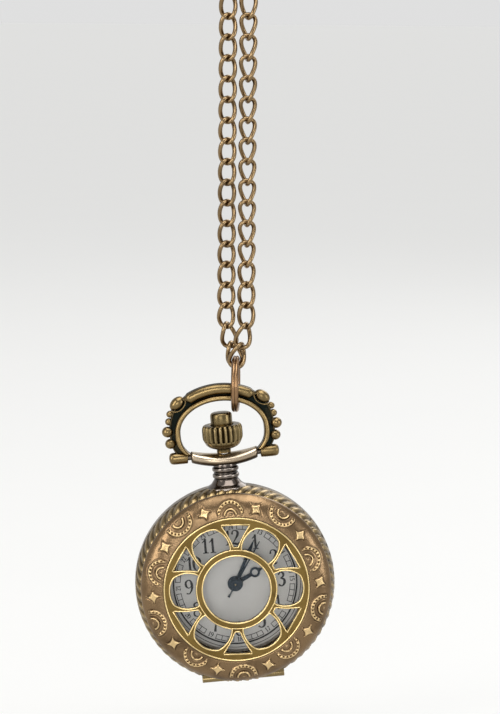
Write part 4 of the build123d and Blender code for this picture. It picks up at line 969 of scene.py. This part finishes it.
def border_mark(clock, radius):
    """Height of the ornament, from 0 to 1, at an angle clockwise from the top and a radius."""
    sector = round(clock / SECTOR)
    u = math.radians(clock - sector * SECTOR) * radius
    second_of_pair = (sector // 2) % 2
    if sector % 2:
        return star_mark(u, radius - STAR_MIDDLE, STAR_SIZE, STAR_LEANS[second_of_pair])
    return sun_mark(u, SUN_HIGH - radius if second_of_pair else radius - SUN_LOW, SUN_RADIUS)


def border_profile():
    """Points from the outer foot over the crowned face to the throat, and back underneath."""
    points = [(12.76, -3.35), (12.76, -3.75)]
    start, peak, end = Vector((12.72, -3.95)), Vector((11.9, -5.28)), Vector((9.84, -5.39))
    for k in range(BORDER_ROWS + 1):
        t = k / BORDER_ROWS
        points.append(tuple((1 - t) ** 2 * start + 2 * t * (1 - t) * peak + t ** 2 * end))
    return points + [(9.82, -5.36), (9.82, -4.75), (9.30, -4.75), (12.16, -3.9), (12.16, -3.35)]


profile = border_profile()
rings, marks = [], []
for k, (c, s) in enumerate(circle(BORDER_STEPS)):
    clock = (90.0 - math.degrees(2 * math.pi * k / BORDER_STEPS)) % 360.0
    ring = []
    for index, (radius, y) in enumerate(profile):
        lift, mark = 0.0, GROUND
        if 3 <= index <= BORDER_ROWS + 1:
            height = border_mark(clock, radius)
            trench = max(border_mark(clock + a, radius + b) for a, b in NEAR) * (1 - height)
            lift = RAISED * height - SUNK * trench
            mark = GROUND + RAISED_MARK * height - SUNK_MARK * trench
        r = radius + lift * 0.35 * (radius - THROAT) / FACE_WIDTH
        ring.append((r * c, y - lift, r * s))
        marks.append(mark)
    rings.append(ring)
border = make_piece("cover_border", loft(placed(rings), closed_path=True), BRONZE, "cover",
                    relief=marks, angle=70)
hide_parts("cover_rim")

# ---------------------------------------------------------------- beaded edges of the flower

FLOWER_RADIUS = 9.8
FLOWER_TOP = -5.25
FLOWER_TURN = 3.5
RIB_DEPTH = FLOWER_TOP - 0.04
# Half width and distance from the middle of a petal's foot, belly and shoulder, in flower radii.
PETAL_SIDE = ((0.204, 0.556), (0.2408, 0.7245), (0.1786, 0.8724))
PETAL_TOP = 0.9061
FOOT_STEPS, PETAL_STEPS = 12, 14
RIB_SHARE = 0.0429
GAP_INNER, GAP_OUTER = 0.5918, 0.8898
GAP_ROWS = 24
# Radius, steps, wire and depth of the three ribs that run round the flower.
ROUND_RIBS = ((9.66, 200, 0.12, RIB_DEPTH), (4.60, 120, 0.12, RIB_DEPTH),
              (5.33, 120, 0.07, FLOWER_TOP - 0.02))


def arc_through(a, b, c, count):
    """Points on the arc through three points."""
    d = 2 * (a.x * (b.y - c.y) + b.x * (c.y - a.y) + c.x * (a.y - b.y))
    aa, bb, cc = [p.x ** 2 + p.y ** 2 for p in (a, b, c)]
    ux = (aa * (b.y - c.y) + bb * (c.y - a.y) + cc * (a.y - b.y)) / d
    uy = (aa * (c.x - b.x) + bb * (a.x - c.x) + cc * (b.x - a.x)) / d
    centre = Vector((ux, uy))
    start, through, end = [math.atan2(p.y - uy, p.x - ux) for p in (a, b, c)]
    sweep = (end - start) % (2 * math.pi)
    if (through - start) % (2 * math.pi) > sweep:
        sweep -= 2 * math.pi
    radius = (a - centre).length
    angles = [start + sweep * k / count for k in range(count)]
    return [centre + Vector((math.cos(t), math.sin(t))) * radius for t in angles]


def petal_outline(margin):
    """The edge of the petal opening at the top, moved out by a margin."""
    f = FLOWER_RADIUS
    foot, belly, shoulder = [Vector((half * f, math.sqrt((distance * f) ** 2 - (half * f) ** 2)))
                             for half, distance in PETAL_SIDE]
    left_foot, left_belly, left_shoulder = [Vector((-p.x, p.y)) for p in (foot, belly, shoulder)]
    points = arc_through(left_foot, Vector((0, PETAL_SIDE[0][1] * f)), foot, FOOT_STEPS)
    points += arc_through(foot, belly, shoulder, PETAL_STEPS)
    points += arc_through(shoulder, Vector((0, PETAL_TOP * f)), left_shoulder, PETAL_STEPS)
    points += arc_through(left_shoulder, left_belly, left_foot, PETAL_STEPS)
    return grown(points, margin)


def grown(points, margin):
    """A closed outline moved out by a margin."""
    centre = sum(points, Vector((0, 0))) / len(points)
    result = []
    for i, point in enumerate(points):
        along = (points[(i + 1) % len(points)] - points[i - 1]).normalized()
        out = Vector((along.y, -along.x))
        if out.dot(point - centre) < 0:
            out = -out
        result.append(point + out * margin)
    return result


def turned_2d(points, degrees):
    """Points turned clockwise as seen from the front."""
    c, s = math.cos(math.radians(degrees)), math.sin(math.radians(degrees))
    return [Vector((p.x * c + p.y * s, -p.x * s + p.y * c)) for p in points]


def gap_outline():
    """The tapered window between two petals, kept clear of the petals' ribs."""
    f = FLOWER_RADIUS
    rib = turned_2d(petal_outline(RIB_SHARE * f), 30)
    inner, outer = GAP_INNER * f, GAP_OUTER * f
    right_edge = []
    for k in range(GAP_ROWS + 1):
        z = inner + (outer - inner) * k / GAP_ROWS
        limit = z * math.tan(math.radians(3.0 + 9.2 * k / GAP_ROWS))
        for p, q in zip(rib, rib[1:] + rib[:1]):
            if (p.y - z) * (q.y - z) <= 0 and p.y != q.y:
                x = p.x + (q.x - p.x) * (z - p.y) / (q.y - p.y)
                if x > 0:
                    limit = min(limit, x)
        right_edge.append(Vector((limit, z)))
    return right_edge + [Vector((-p.x, p.y)) for p in reversed(right_edge)]


def bead_line(outline, wire, y=RIB_DEPTH):
    """A round rib along a closed outline."""
    rings = tube([Vector((p.x, y, p.y)) for p in outline], wire, 8, closed=True)
    return loft(placed(rings), closed_path=True)


def circle_2d(radius, count):
    """Points round a circle in the plane of the dial."""
    return [Vector((radius * c, radius * s)) for c, s in circle(count)]


parts = [bead_line(circle_2d(radius, steps), wire, y) for radius, steps, wire, y in ROUND_RIBS]
for k in range(6):
    turn = FLOWER_TURN + 60 * k
    parts.append(bead_line(turned_2d(petal_outline(0.09), turn + 30), 0.11))
    parts.append(bead_line(turned_2d(grown(gap_outline(), 0.07), turn), 0.09))
make_piece("flower_beads", joined(parts), BEAD_GOLD, "cover", angle=80)

# ---------------------------------------------------------------- hinge knuckles

HINGE_Y, HINGE_DROP = -2.72, 12.4
HINGE_HALF = 5.525
KNUCKLE_GAP = 0.03
KNUCKLE_SIDES = 40
KNUCKLE_RADIUS = 0.5
KNUCKLE_ROUNDING = 0.07
PIN_HOLE = 0.26
# Each leaf's outline in y and z.
OUTER_LEAF = [(-3.2, -11.78), (-2.15, -11.78), (-2.15, -12.35), (-2.72, -12.38), (-3.15, -12.2)]
MIDDLE_LEAF = [(-3.35, -12.55), (-3.35, -12.0), (-2.95, -12.05), (-2.8, -12.4), (-3.0, -12.75)]


def knuckle_part(low, high, leaf):
    """One knuckle round the hinge pin, and its leaf."""
    corners = [(PIN_HOLE, low), (KNUCKLE_RADIUS, low), (KNUCKLE_RADIUS, high), (PIN_HOLE, high)]
    profile = rounded(corners, KNUCKLE_ROUNDING)
    rings = [[(x, HINGE_Y + r * c, -HINGE_DROP + r * s) for r, x in profile]
             for c, s in circle(KNUCKLE_SIDES)]
    leaf_verts = [world(x, y, z) for x in (low, high) for y, z in leaf]
    count = len(leaf)
    leaf_faces = [tuple(range(count)), tuple(range(2 * count - 1, count - 1, -1))]
    leaf_faces += [(i, (i + 1) % count, count + (i + 1) % count, count + i) for i in range(count)]
    return joined([loft(placed(rings), closed_path=True), (leaf_verts, leaf_faces)])


inner_end = HINGE_HALF - 2 * HINGE_HALF / 3
outer_knuckles = joined([knuckle_part(-HINGE_HALF, -inner_end - KNUCKLE_GAP, OUTER_LEAF),
                         knuckle_part(inner_end + KNUCKLE_GAP, HINGE_HALF, OUTER_LEAF)])
piece = make_piece("case_knuckles_round", outer_knuckles, CROWN, "case", angle=45)
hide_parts("case_knuckles")
middle_knuckle = knuckle_part(-inner_end + KNUCKLE_GAP, inner_end - KNUCKLE_GAP, MIDDLE_LEAF)
piece = make_piece("cover_knuckle_round", middle_knuckle, CROWN, "cover", angle=45)
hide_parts("cover_knuckle")

# ---------------------------------------------------------------- dial print

DIAL_TOP = -1.1 - 0.012
STROKE_STEPS = 7
STROKE_END = 0.02
TRACK_INNER, TRACK_OUTER = 7.36, 8.0
TRACK_WIDTH = 0.09
MINUTE_HALF = 0.34
RIM_LINES = ((8.20, 8.42), (8.78, 8.86))
# Radius, height, spread and weight of the numbers 1 to 12 and 13 to 24.
INNER_NUMBERS = (6.25, 1.98, 0.50, 1.3)
OUTER_NUMBERS = (7.72, 0.64, 0.56, 1.5)
# Each number's strokes, as points with a width, in hundredths of its height.
STROKES = {
    "0": [[(25, 98, 5), (7, 80, 11), (3, 50, 14), (7, 20, 11), (25, 2, 5), (43, 20, 11), (47, 50, 14),
           (43, 80, 11), (25, 98, 5)]],
    "1": [[(27, 99, 11), (26, 50, 12), (27, 2, 13)], [(6, 74, 4), (17, 84, 6), (27, 97, 5)],
          [(10, 2, 5), (27, 3, 6), (44, 2, 5)]],
    "2": [[(6, 74, 10), (10, 92, 7), (25, 99, 5), (43, 88, 12), (42, 66, 13), (24, 36, 7), (4, 5, 5)],
          [(4, 5, 7), (20, 8, 12), (38, 3, 10), (49, 14, 3)]],
    "3": [[(7, 82, 9), (20, 98, 6), (38, 90, 11), (39, 70, 10), (20, 56, 5)],
          [(20, 56, 5), (42, 46, 12), (44, 22, 14), (26, 2, 7), (5, 12, 10)]],
    "4": [[(33, 99, 6), (18, 64, 6), (2, 32, 5)], [(2, 30, 7), (26, 29, 7), (50, 31, 7)],
          [(35, 99, 9), (35, 50, 11), (35, 1, 13)]],
    "5": [[(45, 99, 7), (28, 93, 10), (12, 96, 7)], [(12, 96, 6), (10, 76, 5), (8, 57, 5)],
          [(8, 57, 5), (28, 65, 8), (45, 46, 13), (42, 14, 12), (22, 1, 6), (4, 11, 9)]],
    "6": [[(43, 92, 7), (24, 94, 6), (7, 66, 11), (4, 35, 14), (12, 8, 9), (27, 1, 6), (44, 16, 11),
           (43, 42, 11), (26, 56, 5), (8, 42, 5)]],
    "7": [[(4, 86, 6), (16, 94, 11), (34, 90, 10), (47, 97, 5)], [(47, 97, 5), (30, 55, 8), (20, 2, 14)]],
    "8": [[(25, 99, 5), (9, 88, 9), (10, 68, 10), (28, 53, 12), (45, 30, 12), (41, 8, 8), (24, 1, 5),
           (5, 12, 9), (6, 34, 8), (24, 52, 6), (40, 70, 6), (40, 90, 7), (25, 99, 5)]],
}
STROKES["9"] = [[(50 - x, 100 - y, width) for x, y, width in stroke] for stroke in STROKES["6"]]


def smooth_stroke(points):
    """Points with widths on a smooth curve through the given ones."""
    points = [Vector([value / 100 for value in point]) for point in points]
    result = []
    last = len(points) - 1
    for i in range(last):
        p0, p1, p2, p3 = [points[min(max(i + k, 0), last)] for k in (-1, 0, 1, 2)]
        for k in range(STROKE_STEPS):
            t = k / STROKE_STEPS
            result.append(0.5 * (2 * p1 + (p2 - p0) * t + (2 * p0 - 5 * p1 + 4 * p2 - p3) * t ** 2
                                 + (3 * p1 - p0 - 3 * p2 + p3) * t ** 3))
    return result + [points[-1]]


def strip_faces(count):
    """Faces of a flat strip whose points come in pairs."""
    return [(2 * k, 2 * k + 1, 2 * k + 3, 2 * k + 2) for k in range(count)]


def glyph_parts(number, clock, turn, style):
    """Flat strokes of a number at an angle of the dial, turned clockwise about their middle."""
    radius, height, spread, weight = style
    place = dial_place(radius, clock)
    text = str(number)
    found = []
    width = spread * len(text) - (spread - 0.5)
    for index, digit in enumerate(text):
        for stroke in STROKES[digit]:
            points = smooth_stroke(stroke)
            last = len(points) - 1
            flat = []
            for i, p in enumerate(points):
                middle = p.xy
                along = (points[min(i + 1, last)] - points[max(i - 1, 0)]).xy.normalized()
                across = Vector((-along.y, along.x)) * p.z / 2 * weight
                if i in (0, last):
                    middle += along * (STROKE_END if i else -STROKE_END)
                for edge in (middle + across, middle - across):
                    x = edge.x + spread * index - width / 2
                    flat.append(Vector((x * height, (edge.y - 0.5) * height)))
            verts = [world(place.x + p.x, DIAL_TOP, place.y + p.y) for p in turned_2d(flat, turn)]
            found.append((verts, strip_faces(last)))
    return found


def dial_place(radius, clock):
    """A place on the dial, from its radius and an angle clockwise from the top."""
    t = math.radians(clock)
    return Vector((radius * math.sin(t), radius * math.cos(t)))


def flat_arc(inner, outer, start, end):
    """A flat arc of the dial print between two radii and two angles."""
    count = max(2, int(abs(end - start) / 2) + 1)
    places = [dial_place(radius, start + (end - start) * k / count)
              for k in range(count + 1) for radius in (inner, outer)]
    return [world(p.x, DIAL_TOP, p.y) for p in places], strip_faces(count)


prints = []
for hour in range(1, 13):
    clock = 30 * hour
    readable = clock + 180 if 90 < clock < 270 else clock
    prints += glyph_parts(hour, clock, 0, INNER_NUMBERS)
    prints += glyph_parts(hour + 12, clock, readable, OUTER_NUMBERS)
    start, end = clock + 6, clock + 24
    for radius in (TRACK_INNER, TRACK_OUTER):
        prints.append(flat_arc(radius, radius + TRACK_WIDTH, start, end))
    for minute in range(start, end + 1, 6):
        prints.append(flat_arc(TRACK_INNER, TRACK_OUTER + TRACK_WIDTH, minute - MINUTE_HALF,
                               minute + MINUTE_HALF))
prints += [flat_arc(inner, outer, 0, 360) for inner, outer in RIM_LINES]
make_piece("dial_print", joined(prints), INK, "case", angle=None)

# ---------------------------------------------------------------- hands

HAND_BEVEL = 0.03
HOUR_LENGTH = 4.2315
MINUTE_LENGTH = 6.4974
SECOND_LENGTH = 6.6976
SECOND_TAIL = 1.9565


def hand_piece(name, node, body, parts_2d, clock):
    """A hand from rings and bars: each part is a list of loops, rounded over its front edge."""
    low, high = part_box(node)
    front, rear = low[1] / MM, high[1] / MM
    edge = front + HAND_BEVEL
    found = []
    for outline in parts_2d:
        outside, *holes = [turned_2d(loop_points, clock) for loop_points in outline]
        centre = sum(outside, Vector((0, 0))) / len(outside)
        rings = []
        if holes:
            for p, q in zip(outside, holes[0]):
                p_front = p + (centre - p).normalized() * HAND_BEVEL
                q_front = q - (centre - q).normalized() * HAND_BEVEL
                rings.append([(p.x, rear, p.y), (p.x, edge, p.y), (p_front.x, front, p_front.y),
                              (q_front.x, front, q_front.y), (q.x, edge, q.y), (q.x, rear, q.y)])
        else:
            inner = [p + (centre - p).normalized() * HAND_BEVEL * 1.6 for p in outside]
            for loop_points, y in ((outside, rear), (outside, edge), (inner, front)):
                rings.append([(p.x, y, p.y) for p in loop_points])
        found.append(loft(placed(rings), closed_path=bool(holes)))
    piece = make_piece(name, joined(found), BLUE, body, angle=40)
    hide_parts(node)


def ring_2d(radius, hole, place):
    """A ring's two loops, at a place along the hand."""
    shift = Vector((0, place))
    return [[p + shift for p in circle_2d(size, 40)] for size in (radius, hole)]


def bar_2d(start_width, end_width, start, end):
    """The loop of a bar that tapers along the hand."""
    corners = ((-start_width, start), (start_width, start), (end_width, end), (-end_width, end))
    return [[Vector((width / 2, place)) for width, place in corners]]


hand_piece("hour_hand_pomme", "hour_hand", "hour_body",
           [ring_2d(1.05, 0.60, 0), bar_2d(0.62, 0.50, 0.85, 2.50), ring_2d(0.70, 0.40, 3.05),
            bar_2d(0.60, 0.10, 3.62, HOUR_LENGTH)], 64.5)
hand_piece("minute_hand_pomme", "minute_hand", "minute_body",
           [ring_2d(0.85, 0.44, 0), bar_2d(0.52, 0.42, 0.7, 3.85), ring_2d(0.70, 0.42, 4.40),
            bar_2d(0.52, 0.08, 4.97, MINUTE_LENGTH)], 27.0)
hand_piece("second_hand_sweep", "second_hand", "second_body",
           [ring_2d(0.62, 0.03, 0), bar_2d(0.24, 0.12, 0.5, SECOND_LENGTH), bar_2d(0.16, 0.24, -1.5, -0.5),
            bar_2d(0.36, 0.18, -SECOND_TAIL, -1.42)], 33.3)
